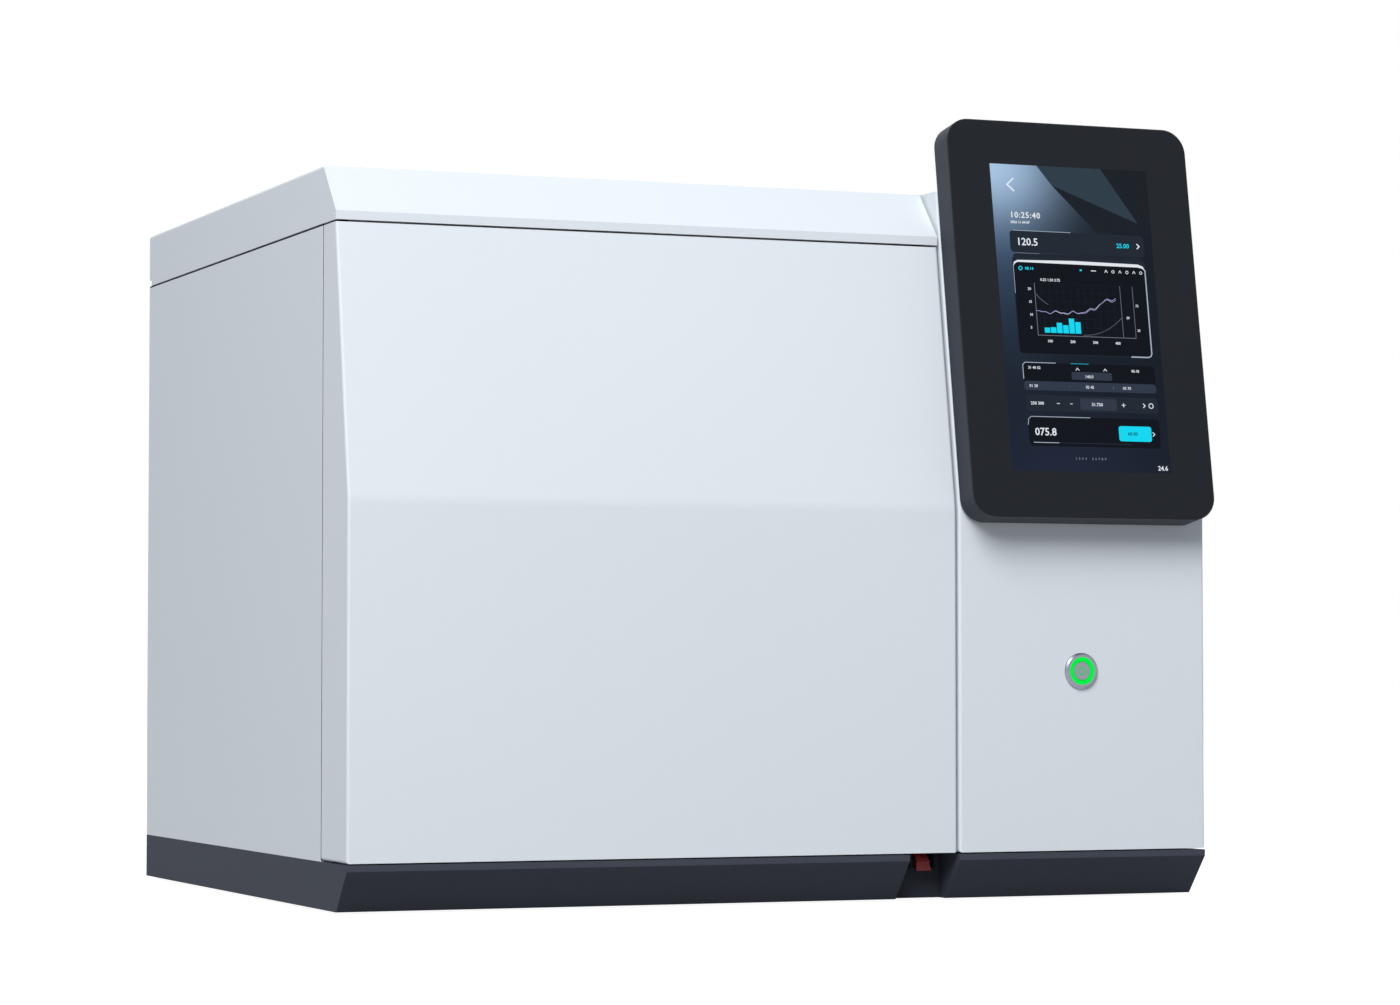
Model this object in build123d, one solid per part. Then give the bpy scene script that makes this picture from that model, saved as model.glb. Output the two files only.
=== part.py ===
from build123d import *
import os
from math import cos, radians, sin, tan

# Benchtop gas chromatograph. All lengths are millimetres. Places are counted from the cabinet's
# lower front left corner: x to the right, y to the rear, z up from the bench. The last lines move
# every piece so that the origin is the middle of the footprint, on the bench.

# Cabinet
foot_height = 2.0            # how far the feet lift the plinth
cabinet_depth = 534.5        # door face to rear panel
door_width = 443.2
column_width = 194.3         # electronics column beside the oven
panel_gap = 2.0              # upright gap between door and column
wrap_depth = 58.0            # how far the door wraps round the side
wrap_gap = 1.8               # seam between the wrap and the side panel
sheet = 1.5                  # painted steel sheet
panel_fold = 18.0            # folded edge of a side panel
past = 1.0                   # how far a cutting tool runs past what it cuts
edge_radius = 2.0            # folded outer edges
crease_height = 273.0        # bend of the front above the plinth's underside
crease_radius = 38.0
slope_angle = 9.15           # lean of the upper front, degrees
seam_gap = 1.5               # between door and top cover
cover_height = 39.25         # top cover from its lower edge to the flat top
service_height = 76.6        # from the deck up to the flat tops
cover_lip = 6.0              # upright edge of the top cover before its chamfer
chamfer_depth = 29.6         # how far the top cover's chamfer runs back

# Plinth
plinth_height = 31.9
plinth_wall = 2.0
plinth_lip = 4.3
plinth_setback = 23.8        # how far the front falls back to its foot
front_clearance = 1.0        # air between plinth and the fronts above it
pocket_width = 38.4          # finger pocket under the door's free end
pocket_depth = 34.6
floor_sheet = 2.0
foot_radius = 15.0
foot_inset = 55.0
foot_taper = 1.0

# Oven
cavity_width = 300.0
cavity_height = 290.0
cavity_depth = 270.0
cavity_radius = 12.0
liner_sheet = 1.0
insulation = 45.0
rail_height = 8.0
rail_width = 30.0
back_sheet = 2.0
frame_lip = 4.0              # lip of the front frame inside the top cover
passage_clearance = 1.5      # round what passes through the oven's walls
fan_zone = 48.0              # room behind the baffle
baffle_sheet = 1.2
baffle_margin = 1.0
centre_slot_length = 30.0
centre_slot_width = 6.0
centre_slot_radius = 36.0
centre_slot_count = 12
edge_slot_length = 60.0
edge_slot_width = 9.0
edge_slot_inset = 14.0
edge_slot_pitch = 78.0
deck_sheet = 1.5

# Oven door
pan_sheet = 1.2
pan_inset = 1.0              # pan sits in from the rear edge of the wrap
plug_depth = 26.0
plug_clearance = 5.0
door_filling = 21.0          # slab of insulation in front of the pan
filling_margin = 15.0
gasket_width = 10.0
gasket_clearance = 0.3       # between gasket and frame when shut
gasket_inset = 3.0           # from the oven mouth
gasket_softening = 1.2
hinge_from_side = 7.0        # so that the wrap's rear edge swings clear of the side panel
hinge_block_gap = 3.5        # between the upper hinge block and the leaning front
hinge_pin_radius = 3.0
hinge_pin_length = 22.0      # length of a hinge block
hinge_pin_reach = 17.6       # pin inside its block
hinge_block_size = 10.0
hinge_block_foot = 4.0       # how much wider the block is on its inner side
hinge_block_corner = 1.0
hinge_collar = 2.5           # shoulder round the lower pin
hinge_collar_height = 0.6
running_clearance = 0.05
pin_hole_margin = 0.6        # free hole in the sheet round a hinge pin
bracket_sheet = 2.5
bracket_half_width = 5.0

# Release lever in the pocket
lever_from_gap = 16.2        # lever's middle to the door's free end
lever_pivot_back = 26.0
lever_pivot_drop = 5.4       # below the plinth's top
lever_width_top = 9.6
lever_width_foot = 11.2
lever_reach_down = 6.8
lever_pin_radius = 1.5
lever_boss_radius = 3.2
lever_tab_front = 5.6        # lever's side outline, from its pivot
lever_tab_rear = 3.0
lever_knee = 1.5
lever_shoulder = 4.0
lever_hook_front = 2.5
lever_hook_rear = 4.5
lever_hook_gap = 0.4         # hook to the door's underside when shut
lever_ear_gap = 17.0
latch_drop = 5.0             # bracket below the pivot
latch_ear_front = 4.0        # bracket before the pivot
latch_pin_reach = 2.0        # pin beyond the gap between the ears
hook_slot_margin = 1.0
hook_slot_length = 9.0

# Top cover hinge
cover_pivot_in = 10.0        # from the rear face
cover_pivot_up = 12.0        # above the cover's lower edge
cover_ear = 3.0
cover_ear_gap = 0.5
cover_ear_radius = 6.5
cover_hinge_inset = 40.0
cover_arm_foot = 22.0        # arm's foot on the deck, along y
cover_arm_reach = 26.0       # from the foot back to the pivot
cover_arm_half = 6.0         # half the arm's height
cover_foot_width = 16.0
cover_foot_sheet = 2.0
cover_pin_proud = 1.0
leaf_half = 6.0              # half the ear's width at the pivot
leaf_spread = 14.0           # ear's front corner under the cover
leaf_radius = 6.0
leaf_flange_width = 18.0
leaf_flange_sheet = 2.0
cover_relief_depth = 6.0     # the lower rear edge is cut away, so that it swings over the rear panel
cover_relief_height = 4.5

# Inlets and detectors on the deck
port_inset = 50.0            # in from the oven's side walls
front_port_y = 150.0
port_pitch = 100.0
inlet_body_radius = 13.0
inlet_flange_radius = 19.0
inlet_stem_radius = 6.0
inlet_body_height = 34.0
nut_radius = 11.5
nut_height = 20.0
nut_sides = 14
nut_wall = 3.0
nut_seat = 8.0               # length of inlet that the nut covers
nut_dish = 3.0               # depth of the dish that guides the needle
nut_chamfer = 1.5
detector_radius = 15.0
detector_height = 32.0
chimney_radius = 10.0
chimney_height = 24.0
chimney_wall = 3.0
chimney_floor = 6.0
flange_thickness = 4.0
stem_drop = 10.0             # stem below the oven ceiling

# Gas side
manifold_width = 220.0
manifold_depth = 48.0
manifold_height = 23.0
manifold_from_rear = 82.5
manifold_corner = 3.0
valve_radius = 9.0
valve_height = 18.0
valve_count = 4
fitting_pitch = 46.0
fitting_radius = 5.0
fitting_hex = 14.0
fitting_hex_length = 7.0
fitting_shoulder = 4.0
fitting_nose_radius = 3.2
fitting_reach = 21.5         # beyond the rear panel
fitting_clearance = 0.2      # round the shank in the rear panel
tube_radius = 1.6
tube_bend = 10.0
tube_level = 12.0            # tubes above the deck
tube_spread = 45.0
tube_step = 15.0             # between neighbouring tubes

# Oven fan, heater and motor
fan_radius = 70.0            # oven fan
fan_inner_radius = 30.0
fan_plate = 1.5
blade_height = 26.0
blade_sheet = 1.5
blade_curve = 46.0
blade_centre_x = 34.5        # centre of a blade's curve, from the axis
blade_centre_z = -41.4
blade_count = 12
fan_gap = 9.0                # wheel to liner back
hub_radius = 12.0
hub_taper = 2.0
shaft_radius = 5.0
shaft_proud = 4.0            # shaft in front of the wheel
shaft_end_gap = 2.0          # shaft to the bottom of the motor's bore
shaft_passage = 9.0
motor_radius = 42.0
motor_length = 70.0
motor_flange = 3.0
motor_flange_size = 92.0
motor_end_chamfer = 6.0
motor_end_wall = 12.0        # behind the motor's bore
heater_ring_radius = 92.0
heater_tube_radius = 4.0
heater_from_back = 24.0
heater_leg_spread = 30.0
heater_tail = 12.0           # legs behind the back plate

# Vent ducts and flaps
duct_inside = 56.0
duct_wall = 1.2
duct_inset = 49.0            # in from the oven's side walls
duct_drop = 45.0             # duct axis below the oven ceiling
duct_reach = 20.0            # exhaust beyond the rear panel
flap_sheet = 1.5
flap_clearance = 0.8
flap_from_back = 52.0        # flap shaft behind the oven back plate
flap_shaft_radius = 3.0
stepper_size = 42.0
stepper_length = 28.0
stepper_gap = 12.0
stepper_bore_depth = 20.0
stepper_corner = 4.0
flap_shaft_proud = 6.0       # shaft beyond the intake duct
flap_shaft_gap = 1.0         # shaft to the bottom of the motor's bore

# Capillary column on its cage
cage_radius = 95.0
cage_bar = 6.0
cage_sheet = 2.0
cage_hub_radius = 16.0
cage_hole_radius = 10.0
spoke_width = 4.0
spoke_count = 6
cage_from_baffle = 42.0
coil_radius = 81.0
coil_band = 22.0
coil_thickness = 7.0
coil_crown = 2.5
post_radius = 3.0
post_spread = 60.0
post_proud = 6.0
probe_radius = 2.5
probe_reach = 60.0
probe_from_side = 40.0
probe_from_floor = 45.0
probe_head_radius = 6.0
probe_head_length = 9.0

# Touch screen
tablet_width = 190.5
tablet_height = 287.7
tablet_thickness = 24.2
tablet_radius = 17.0
tablet_wall = 2.5
tablet_rear_edge = 2.0
tablet_from_gap = 0.3
tablet_drop = 10.2           # lower edge below the crease, along the slope
glass_thickness = 2.0
glass_edge = 0.6
display_width = 125.2
display_height = 222.4
display_left = 31.7
display_up = 33.1
display_thickness = 3.0
display_border = 5.0
display_board_inset = 20.0

# Power button
button_across = 95.1         # from the column's left edge
button_up = 159.4            # above the plinth's underside
bezel_radius = 12.75
bezel_proud = 2.5
bezel_chamfer = 1.2
barrel_radius = 11.0
barrel_length = 24.0
ring_radius = 9.75
ring_tail = 4.0              # light ring beyond the cap
cap_radius = 6.7
cap_stem_radius = 3.0
button_travel = 2.0
cap_length = 8.0
cap_recess = 0.4
cap_edge = 0.4
stem_proud = 2.0             # stem beyond the barrel
stem_end_gap = 2.0
button_nut_radius = 14.0
button_nut_thickness = 4.0
contact_block_length = 14.0
contact_corner = 3.0
terminal_pitch = 12.0
terminal_width = 3.0
terminal_length = 7.0
terminal_sheet = 1.0

# Electronics bay
board_width = 300.0
board_height = 240.0
board_thickness = 1.6
board_from_front = 130.0
board_up = 190.0
stud_inset = 10.0
standoff_radius = 3.0
standoff_length = 8.0
chip_size = 40.0             # processor: its side, its height and its lower front corner on the board
chip_height = 4.0
chip_place = (110.0, 100.0)
sink_place = (188.0, 108.0)  # heat sink's lower front corner on the board
sink_width = 46.0
sink_height = 64.0
sink_base = 3.0
fin_sheet = 2.0
fin_pitch = 8.0
fin_reach = 22.0
fin_margin = 2.0
fin_count = 6
socket_row = 10.0            # width of the board's edge connectors
socket_margin = 6.0
socket_pitch = 52.0
upper_socket_length = 34.0
upper_socket_reach = 11.0
lower_socket_length = 26.0
lower_socket_reach = 9.0
socket_count = 5
supply_width = 100.0
supply_depth = 170.0
supply_height = 50.0
supply_from_rear = 44.0
supply_from_bulkhead = 22.0
supply_slot_width = 5.0
supply_slot_length = 30.0
supply_slot_depth = 3.0
supply_slot_pitch = 18.0
supply_slot_count = 8
cooling_fan_size = 80.0
cooling_fan_depth = 25.0
cooling_fan_bore = 38.0
cooling_fan_corner = 5.0
cooling_fan_up = 300.0
strut_thickness = 3.0
strut_width = 4.0
strut_count = 3
grille_pitch = 8.0
grille_slot = 4.8
grille_rib = 4.0
grille_rows = 4
rotor_radius = 36.5
rotor_hub_radius = 17.5
rotor_front_gap = 4.0
rotor_rear_gap = 2.0
rotor_blades = 7
rotor_pitch = 38.0           # twist of the blades, degrees
rotor_blade_chord = 28.0
rotor_blade_sheet = 1.6
rotor_pin_radius = 2.0
rotor_pin_length = 18.0
rotor_pin_gap = 2.0
inlet_up = 80.0
inlet_from_right = 45.0
mains_flange_width = 32.0
mains_flange_height = 64.0
mains_flange_thickness = 3.0
mains_flange_lip = 3.0
mains_body_depth = 27.0
socket_width = 24.0
socket_height = 16.0
socket_depth = 16.0
socket_corner = 4.0
mains_pin_recess = 6.0
mains_pin_width = 2.0
mains_pin_height = 4.0
mains_pin_spread = 7.0
mains_pin_rise = 2.0
rocker_width = 14.0
rocker_half_height = 8.0
rocker_tip = 8.2             # rocker's ends and valley before its pivot
rocker_valley = 6.2
rocker_keel = 3.0
rocker_edge = 1.5
rocker_tilt = 8.0
rocker_clearance = 0.4
rocker_pivot_depth = 6.0
rocker_bay_depth = 6.0       # bay behind the pivot
rocker_bay_half = 10.0
rocker_pin_radius = 1.5
rocker_pin_length = 2.0
rocker_pin_gap = 0.1
port_up = 150.0
connector_pitch = 48.0
network_width = 16.0
network_height = 14.0
network_depth = 20.0
network_proud = 1.0
network_hole_width = 12.0
network_hole_height = 8.0
network_hole_depth = 14.0
signal_width = 30.0
signal_height = 11.0
signal_depth = 12.0
signal_ear = 5.0
signal_rim = 2.0
signal_flange = 1.0
signal_nose_top = 23.0
signal_nose_foot = 20.0
signal_nose_height = 8.0
signal_nose_reach = 6.0

# Rear panels
louvre_length = 96.0
louvre_pitch = 22.0
louvre_rise = 9.0
louvre_reach = 5.0
louvre_sheet = 1.2
louvre_gap = 30.0            # between the two columns of louvres
louvre_from_floor = 50.0
louvre_rows = 7
louvre_columns = 2
screw_head_radius = 3.5
screw_head_height = 2.0
screw_inset = 9.0
screw_chamfer = 0.7

# Levels and lines that follow from the sizes above
slope = radians(slope_angle)
cabinet_width = door_width + panel_gap + column_width
column_left = door_width + panel_gap
z_plinth = foot_height + plinth_height
z_front = z_plinth + front_clearance
z_crease = foot_height + crease_height
y_side = wrap_depth + wrap_gap
y_frame = y_side + sheet
y_liner = y_frame + sheet
y_rear_inside = cabinet_depth - sheet
y_pan = wrap_depth - pan_inset
x_bulkhead = column_left
x_middle = door_width / 2
cavity_left = x_middle - cavity_width / 2
cavity_right = x_middle + cavity_width / 2
z_oven = z_plinth + rail_height
z_cavity = z_oven + insulation + liner_sheet
z_cavity_top = z_cavity + cavity_height
z_deck = z_cavity_top + liner_sheet + insulation
z_deck_top = z_deck + deck_sheet
z_top = z_deck_top + service_height
z_cover = z_top - cover_height
z_door_top = z_cover - seam_gap
y_door_top = (z_door_top - z_crease) * tan(slope)
y_hinge = y_door_top + sheet / cos(slope) + hinge_block_gap + hinge_block_size / 2
y_liner_back = y_liner + cavity_depth
y_oven_back = y_liner_back + liner_sheet + insulation
y_back_plate = y_oven_back + back_sheet
y_baffle = y_liner_back - fan_zone
z_axis = z_cavity + cavity_height / 2
z_duct = z_cavity_top - duct_drop
y_flap = y_back_plate + flap_from_back
cover_pivot = (cabinet_depth - cover_pivot_in, z_cover + cover_pivot_up)
x_lever = door_width - lever_from_gap
z_lever = z_plinth - lever_pivot_drop
z_socket = foot_height + inlet_up
x_mains = cabinet_width - inlet_from_right
x_fan = column_left + column_width / 2
z_fan = foot_height + cooling_fan_up
z_port = foot_height + port_up
x_button = column_left + button_across
z_button = foot_height + button_up
intake_x = cavity_left + duct_inset
exhaust_x = cavity_right - duct_inset
port_places = [
    (x, front_port_y + port_pitch * row)
    for x in (cavity_left + port_inset, cavity_right - port_inset)
    for row in (0, 1)
]
tablet_plane = Plane(
    origin=(
        column_left + tablet_from_gap,
        -tablet_drop * sin(slope),
        z_crease - tablet_drop * cos(slope),
    ),
    x_dir=(1, 0, 0),
    z_dir=(0, -cos(slope), sin(slope)),
)
y_tablet_front = -tablet_drop * sin(slope) - tablet_thickness * cos(slope)
y_rear_reach = cabinet_depth + fitting_reach


def block(x0, x1, y0, y1, z0, z1):
    """A box between two opposite corners."""
    middle = Pos((x0 + x1) / 2, (y0 + y1) / 2, (z0 + z1) / 2)
    return middle * Box(x1 - x0, y1 - y0, z1 - z0)


def rod(radius, start, end):
    """A round bar from one point to another."""
    run = Vector(*end) - Vector(*start)
    foot = Plane(origin=start, z_dir=run.normalized())
    return foot * Cylinder(radius, run.length, align=(Align.CENTER, Align.CENTER, Align.MIN))


def from_front(sketch, y0, y1):
    """Extrudes a sketch drawn in x and z, from y0 back to y1."""
    plane = Plane(origin=(0, y1, 0), x_dir=(1, 0, 0), z_dir=(0, -1, 0))
    return extrude(plane * sketch, amount=y1 - y0)


def from_side(sketch, x0, x1):
    """Extrudes a sketch drawn in y and z, from x0 to x1."""
    return extrude(Plane.YZ.offset(x0) * sketch, amount=x1 - x0)


def from_top(sketch, z0, z1):
    """Extrudes a sketch drawn in x and y, from z0 up to z1."""
    return extrude(Plane.XY.offset(z0) * sketch, amount=z1 - z0)


def polygon(points):
    return make_face(Polyline(*points, close=True))


def turned(points):
    """Turns a half outline of (radius, height) points about the upright axis."""
    return revolve(Plane.XZ * polygon(points), Axis.Z)


def turned_back(points):
    """Turns a half outline of (radius, distance back) points about an axis that runs rearwards."""
    return Rot(-90, 0, 0) * turned(points)


def group(shapes):
    """Keeps separate pieces of one kind together as one node."""
    return Compound([solid for shape in shapes for solid in shape.solids()])


def front_y(z, inset=0.0):
    """Where the leaning front is at height z, moved in by a wall."""
    return inset / cos(slope) + (z - z_crease) * tan(slope)


def front_outline(z_low, z_high, inset, y_back):
    bend = z_crease - inset * tan(slope / 2)
    return [
        (inset, z_low),
        (inset, bend),
        (front_y(z_high, inset), z_high),
        (y_back, z_high),
        (y_back, z_low),
    ]


def bent_front(x0, x1, z_low, z_high):
    """Sheet front with a soft crease, folded round on all four sides and open at the rear."""
    face = polygon(front_outline(z_low, z_high, 0.0, wrap_depth))
    crease = face.vertices().sort_by_distance((0, z_crease))[0]
    face = fillet(crease, crease_radius)
    outer = from_side(face, x0, x1)
    side_edges = [
        edge
        for edge in outer.edges()
        if min(abs(edge.center().X - x0), abs(edge.center().X - x1)) < 0.01
        and edge.center().Y < front_y(z_high) - 0.5
    ]
    outer = fillet(side_edges, edge_radius)
    inner = polygon(front_outline(z_low + sheet, z_high - sheet, sheet, wrap_depth + sheet))
    bend = inner.vertices().sort_by_distance((sheet, z_crease))[0]
    inner = fillet(bend, crease_radius - sheet)
    return outer - from_side(inner, x0 + sheet, x1 - sheet)


# Plinth and chassis


def make_plinth():
    """Tray with an upright lip, a front that falls back, and a pocket for the fingers."""
    outline = polygon(
        [
            (0, z_plinth),
            (0, z_plinth - plinth_lip),
            (plinth_setback, foot_height),
            (cabinet_depth, foot_height),
            (cabinet_depth, z_plinth),
        ]
    )
    outer = from_side(outline, 0, cabinet_width)
    inner_face = offset(outline, amount=-plinth_wall, kind=Kind.INTERSECTION)
    inner = from_side(inner_face, plinth_wall, cabinet_width - plinth_wall)
    mouth = block(
        plinth_wall,
        cabinet_width - plinth_wall,
        plinth_wall,
        cabinet_depth - plinth_wall,
        z_plinth - plinth_lip,
        z_plinth + plinth_wall,
    )
    tray = outer - inner - mouth
    left = column_left - pocket_width
    walls = block(
        left - plinth_wall,
        column_left + plinth_wall,
        0,
        pocket_depth + plinth_wall,
        foot_height,
        z_plinth,
    )
    tray += walls & outer
    tray -= block(left, column_left, -past, pocket_depth, 0, z_plinth + past)
    return tray


def foot_places():
    across = (foot_inset, cabinet_width - foot_inset)
    along = (foot_inset + plinth_setback, cabinet_depth - foot_inset)
    return [(x, y) for x in across for y in along]


def make_feet():
    """Thin stuck-on rubber feet."""
    disc = turned([(0, 0), (foot_radius - foot_taper, 0), (foot_radius, foot_height), (0, foot_height)])
    return group([Pos(x, y, 0) * disc for x, y in foot_places()])


def make_chassis_floor():
    """Floor sheet inside the tray, cut away round the pocket."""
    floor = block(
        plinth_wall,
        cabinet_width - plinth_wall,
        plinth_wall,
        cabinet_depth - plinth_wall,
        z_plinth - floor_sheet,
        z_plinth,
    )
    return floor - block(
        column_left - pocket_width - plinth_wall,
        column_left + plinth_wall,
        0,
        pocket_depth + plinth_wall,
        0,
        z_plinth + past,
    )


def make_oven_rails():
    """Two channel rails on the floor that carry the oven."""
    rails = []
    for x in (cavity_left, cavity_right - rail_width):
        rail = block(x, x + rail_width, y_liner, y_oven_back, z_plinth, z_oven)
        hollow = Pos(x + rail_width / 2, (z_plinth + z_oven) / 2 - sheet)
        hollow *= Rectangle(rail_width - 2 * sheet, rail_height)
        rails.append(rail - from_front(hollow, y_liner - past, y_oven_back + past))
    return group(rails)


def make_side_panel(x_outer, x_inner, z_high, z_fold):
    """Flat side sheet with a fold at its front and top."""
    inward = 1 if x_inner > x_outer else -1
    fold = panel_fold * inward
    x0, x1 = sorted((x_outer, x_inner))
    panel = block(x0, x1, y_side, cabinet_depth, z_plinth, z_high)
    f0, f1 = sorted((x_inner, x_inner + fold))
    panel += block(f0, f1, y_side, y_frame, z_plinth, z_fold)
    panel += block(f0, f1, y_liner, y_rear_inside, z_fold - sheet, z_fold)
    edge = panel.edges().filter_by(Axis.Z).sort_by_distance((x_outer, y_side, z_crease))[0]
    return fillet(edge, sheet * 0.8)


def make_bulkhead():
    """Upright sheet between oven and electronics, with the pressed-in board studs."""
    wall = block(
        x_bulkhead, x_bulkhead + sheet, y_frame, y_rear_inside, z_plinth, z_cover
    )
    for y, z in board_stud_places():
        stud = Pos(y, z) * RegularPolygon(standoff_radius, 6)
        wall += from_side(stud, x_bulkhead + sheet, x_bulkhead + sheet + standoff_length)
    return wall


def board_stud_places():
    y0 = y_frame + board_from_front
    z0 = foot_height + board_up
    return [
        (y, z)
        for y in (y0 + stud_inset, y0 + board_width - stud_inset)
        for z in (z0 + stud_inset, z0 + board_height - stud_inset)
    ]


def make_column_front():
    """Fixed front of the electronics column, with the hole for the power button."""
    front = bent_front(column_left, cabinet_width, z_front, z_top)
    return front - rod(barrel_radius, (x_button, -past, z_button), (x_button, sheet + past, z_button))


def make_column_top():
    """Top sheet of the electronics column, folded down on its left side."""
    top = block(column_left, cabinet_width - sheet, y_side, y_rear_inside, z_top - sheet, z_top)
    top += block(column_left, column_left + sheet, y_side, y_rear_inside, z_cover, z_top)
    return top


def make_front_frame():
    """Sheet round the oven mouth that the door gasket meets, with a lip inside the top cover."""
    frame = block(sheet, x_bulkhead, y_frame, y_liner, z_plinth, z_door_top)
    clear = 2 * sheet
    frame += block(clear, door_width - clear, y_frame, y_liner, z_door_top, z_cover + frame_lip)
    return frame - from_front(cavity_outline(0.0), y_frame - past, y_liner + past)


def cavity_outline(grow):
    """Rounded outline of the oven space, grown all round."""
    shape = RectangleRounded(
        cavity_width + 2 * grow, cavity_height + 2 * grow, cavity_radius + grow
    )
    return Pos(x_middle, z_axis) * shape


# Oven


def make_liner():
    """Steel box, open to the front: a rear panel and four walls, each folded halfway round its corners."""
    tube = from_front(cavity_outline(liner_sheet) - cavity_outline(0.0), y_liner, y_liner_back)
    rear = from_front(cavity_outline(liner_sheet), y_liner_back, y_liner_back + liner_sheet)
    panels = [tube & wedge for wedge in seam_wedges()] + [rear]
    return group([panel - oven_passages() for panel in panels])


def seam_wedges():
    """Four tools that part the liner's walls along the middle of each rounded corner."""
    inner = cavity_corners(-cavity_radius)
    outer = cavity_corners(2 * liner_sheet)
    wedges = []
    for corner in range(4):
        following = (corner + 1) % 4
        face = polygon([inner[corner], outer[corner], outer[following], inner[following]])
        wedges.append(from_front(face, y_liner - past, y_liner_back + past))
    return wedges


def cavity_corners(grow):
    """Corners of the oven space, grown all round, in x and z."""
    x0, x1 = cavity_left - grow, cavity_right + grow
    z0, z1 = z_cavity - grow, z_cavity_top + grow
    return [(x0, z0), (x0, z1), (x1, z1), (x1, z0)]


def oven_passages():
    """Every hole that passes through the oven's walls, as one tool."""
    y0, y1 = y_liner_back - past, y_back_plate + past
    rear = Pos(x_middle, z_axis) * RegularPolygon(shaft_passage, 8)
    side = duct_inside + 2 * duct_wall
    for x in (intake_x, exhaust_x):
        rear += Pos(x, z_duct) * Rectangle(side, side)
    leg_room = 2 * (heater_tube_radius + passage_clearance)
    legs = Rectangle(heater_leg_spread + leg_room, leg_room)
    rear += Pos(x_middle, z_axis - heater_ring_radius) * legs
    rear += Pos(*probe_place()) * RegularPolygon(probe_radius + passage_clearance, 6)
    passages = from_front(rear, y0, y1)
    for x, y in port_places:
        stem = Pos(x, y) * RegularPolygon(inlet_stem_radius + passage_clearance, 8)
        passages += from_top(stem, z_cavity_top - past, z_deck_top + past)
    return passages


def probe_place():
    return cavity_right - probe_from_side, z_cavity + probe_from_floor


def make_insulation():
    """Ceramic fibre jacket round the liner."""
    outer_left = cavity_left - liner_sheet - insulation
    outer_right = cavity_right + liner_sheet + insulation
    jacket = block(outer_left, outer_right, y_liner, y_oven_back, z_oven, z_deck)
    jacket -= from_front(cavity_outline(liner_sheet), y_liner - past, y_liner_back + liner_sheet)
    return jacket - oven_passages()


def make_back_plate():
    """Steel plate behind the insulation, with the folded arm that carries the flap motor."""
    outer_left = cavity_left - liner_sheet - insulation
    outer_right = cavity_right + liner_sheet + insulation
    plate = block(outer_left, outer_right, y_oven_back, y_back_plate, z_oven, z_deck)
    plate -= oven_passages()
    x_arm = exhaust_x + duct_inside / 2 + duct_wall + stepper_gap
    half = stepper_size / 2
    arm = block(
        x_arm - sheet, x_arm, y_back_plate, y_flap + half, z_duct - half, z_duct + half
    )
    arm -= rod(
        2 * flap_shaft_radius, (x_arm - 2 * sheet, y_flap, z_duct), (x_arm + sheet, y_flap, z_duct)
    )
    return plate + arm


def make_baffle():
    """Steel baffle in front of the fan, slotted at its middle and along its edges, with two posts."""
    plate = from_front(cavity_outline(-baffle_margin), y_baffle, y_baffle + baffle_sheet)
    slots = Sketch() + [
        location * Rectangle(centre_slot_length, centre_slot_width)
        for location in PolarLocations(centre_slot_radius, centre_slot_count)
    ]
    edge_slot = Rectangle(edge_slot_length, edge_slot_width)
    across = cavity_width / 2 - edge_slot_inset
    up = cavity_height / 2 - edge_slot_inset
    for side in (-1, 1):
        for step in (-1, 0, 1):
            slots += Pos(step * edge_slot_pitch, side * up) * edge_slot
            slots += Pos(side * across, step * edge_slot_pitch) * Rot(0, 0, 90) * edge_slot
    slots = Pos(x_middle, z_axis) * slots
    slots += Pos(*probe_place()) * Circle(probe_radius + passage_clearance)
    plate -= from_front(slots, y_baffle - past, y_baffle + baffle_sheet + past)
    for side in (-1, 1):
        x = x_middle + side * post_spread
        plate += rod(post_radius, (x, y_baffle, post_height()), (x, y_cage() - post_proud, post_height()))
    return plate


def y_cage():
    return y_baffle - cage_from_baffle


def post_height():
    """Height at which the cage's rim rests on its posts."""
    reach = cage_radius - cage_bar - post_radius
    return z_axis + (reach**2 - post_spread**2) ** 0.5


def make_cage():
    """Flat rim with a hub and spokes that carries the capillary column."""
    rim = Circle(cage_radius) - Circle(cage_radius - cage_bar)
    rim += Circle(cage_hub_radius)
    spoke_length = cage_radius - cage_bar / 2
    for location in PolarLocations(0, spoke_count, start_angle=180 / spoke_count):
        rim += location * Pos(spoke_length / 2, 0) * Rectangle(spoke_length, spoke_width)
    rim -= Circle(cage_hole_radius)
    return from_front(Pos(x_middle, z_axis) * rim, y_cage(), y_cage() + cage_sheet)


def make_capillary():
    """The wound column as one crowned ring behind the cage's rim."""
    ring = turned_back(
        [
            (coil_radius - coil_thickness, 0),
            (coil_radius - coil_crown, 0),
            (coil_radius, coil_crown),
            (coil_radius, coil_band - coil_crown),
            (coil_radius - coil_crown, coil_band),
            (coil_radius - coil_thickness, coil_band),
        ]
    )
    return Pos(x_middle, y_cage() + cage_sheet, z_axis) * ring


def make_heater():
    """Sheathed element bent into a ring round the fan, with two legs through the rear wall."""
    y = y_liner_back - heater_from_back
    section = Pos(heater_ring_radius, y) * RegularPolygon(heater_tube_radius, 6)
    ring = Rot(-90, 0, 0) * revolve(Plane.XZ * section, Axis.Z)
    gap = heater_leg_spread / 2
    low = -heater_ring_radius
    room = 2 * heater_tube_radius
    ring -= block(-gap, gap, y - room, y + room, low - room, low + 1.5 * room)
    for side in (-1, 1):
        leg = Pos(side * gap, low) * RegularPolygon(heater_tube_radius, 6)
        ring += from_front(leg, y - heater_tube_radius, y_back_plate + heater_tail)
    return Pos(x_middle, 0, z_axis) * ring


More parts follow.
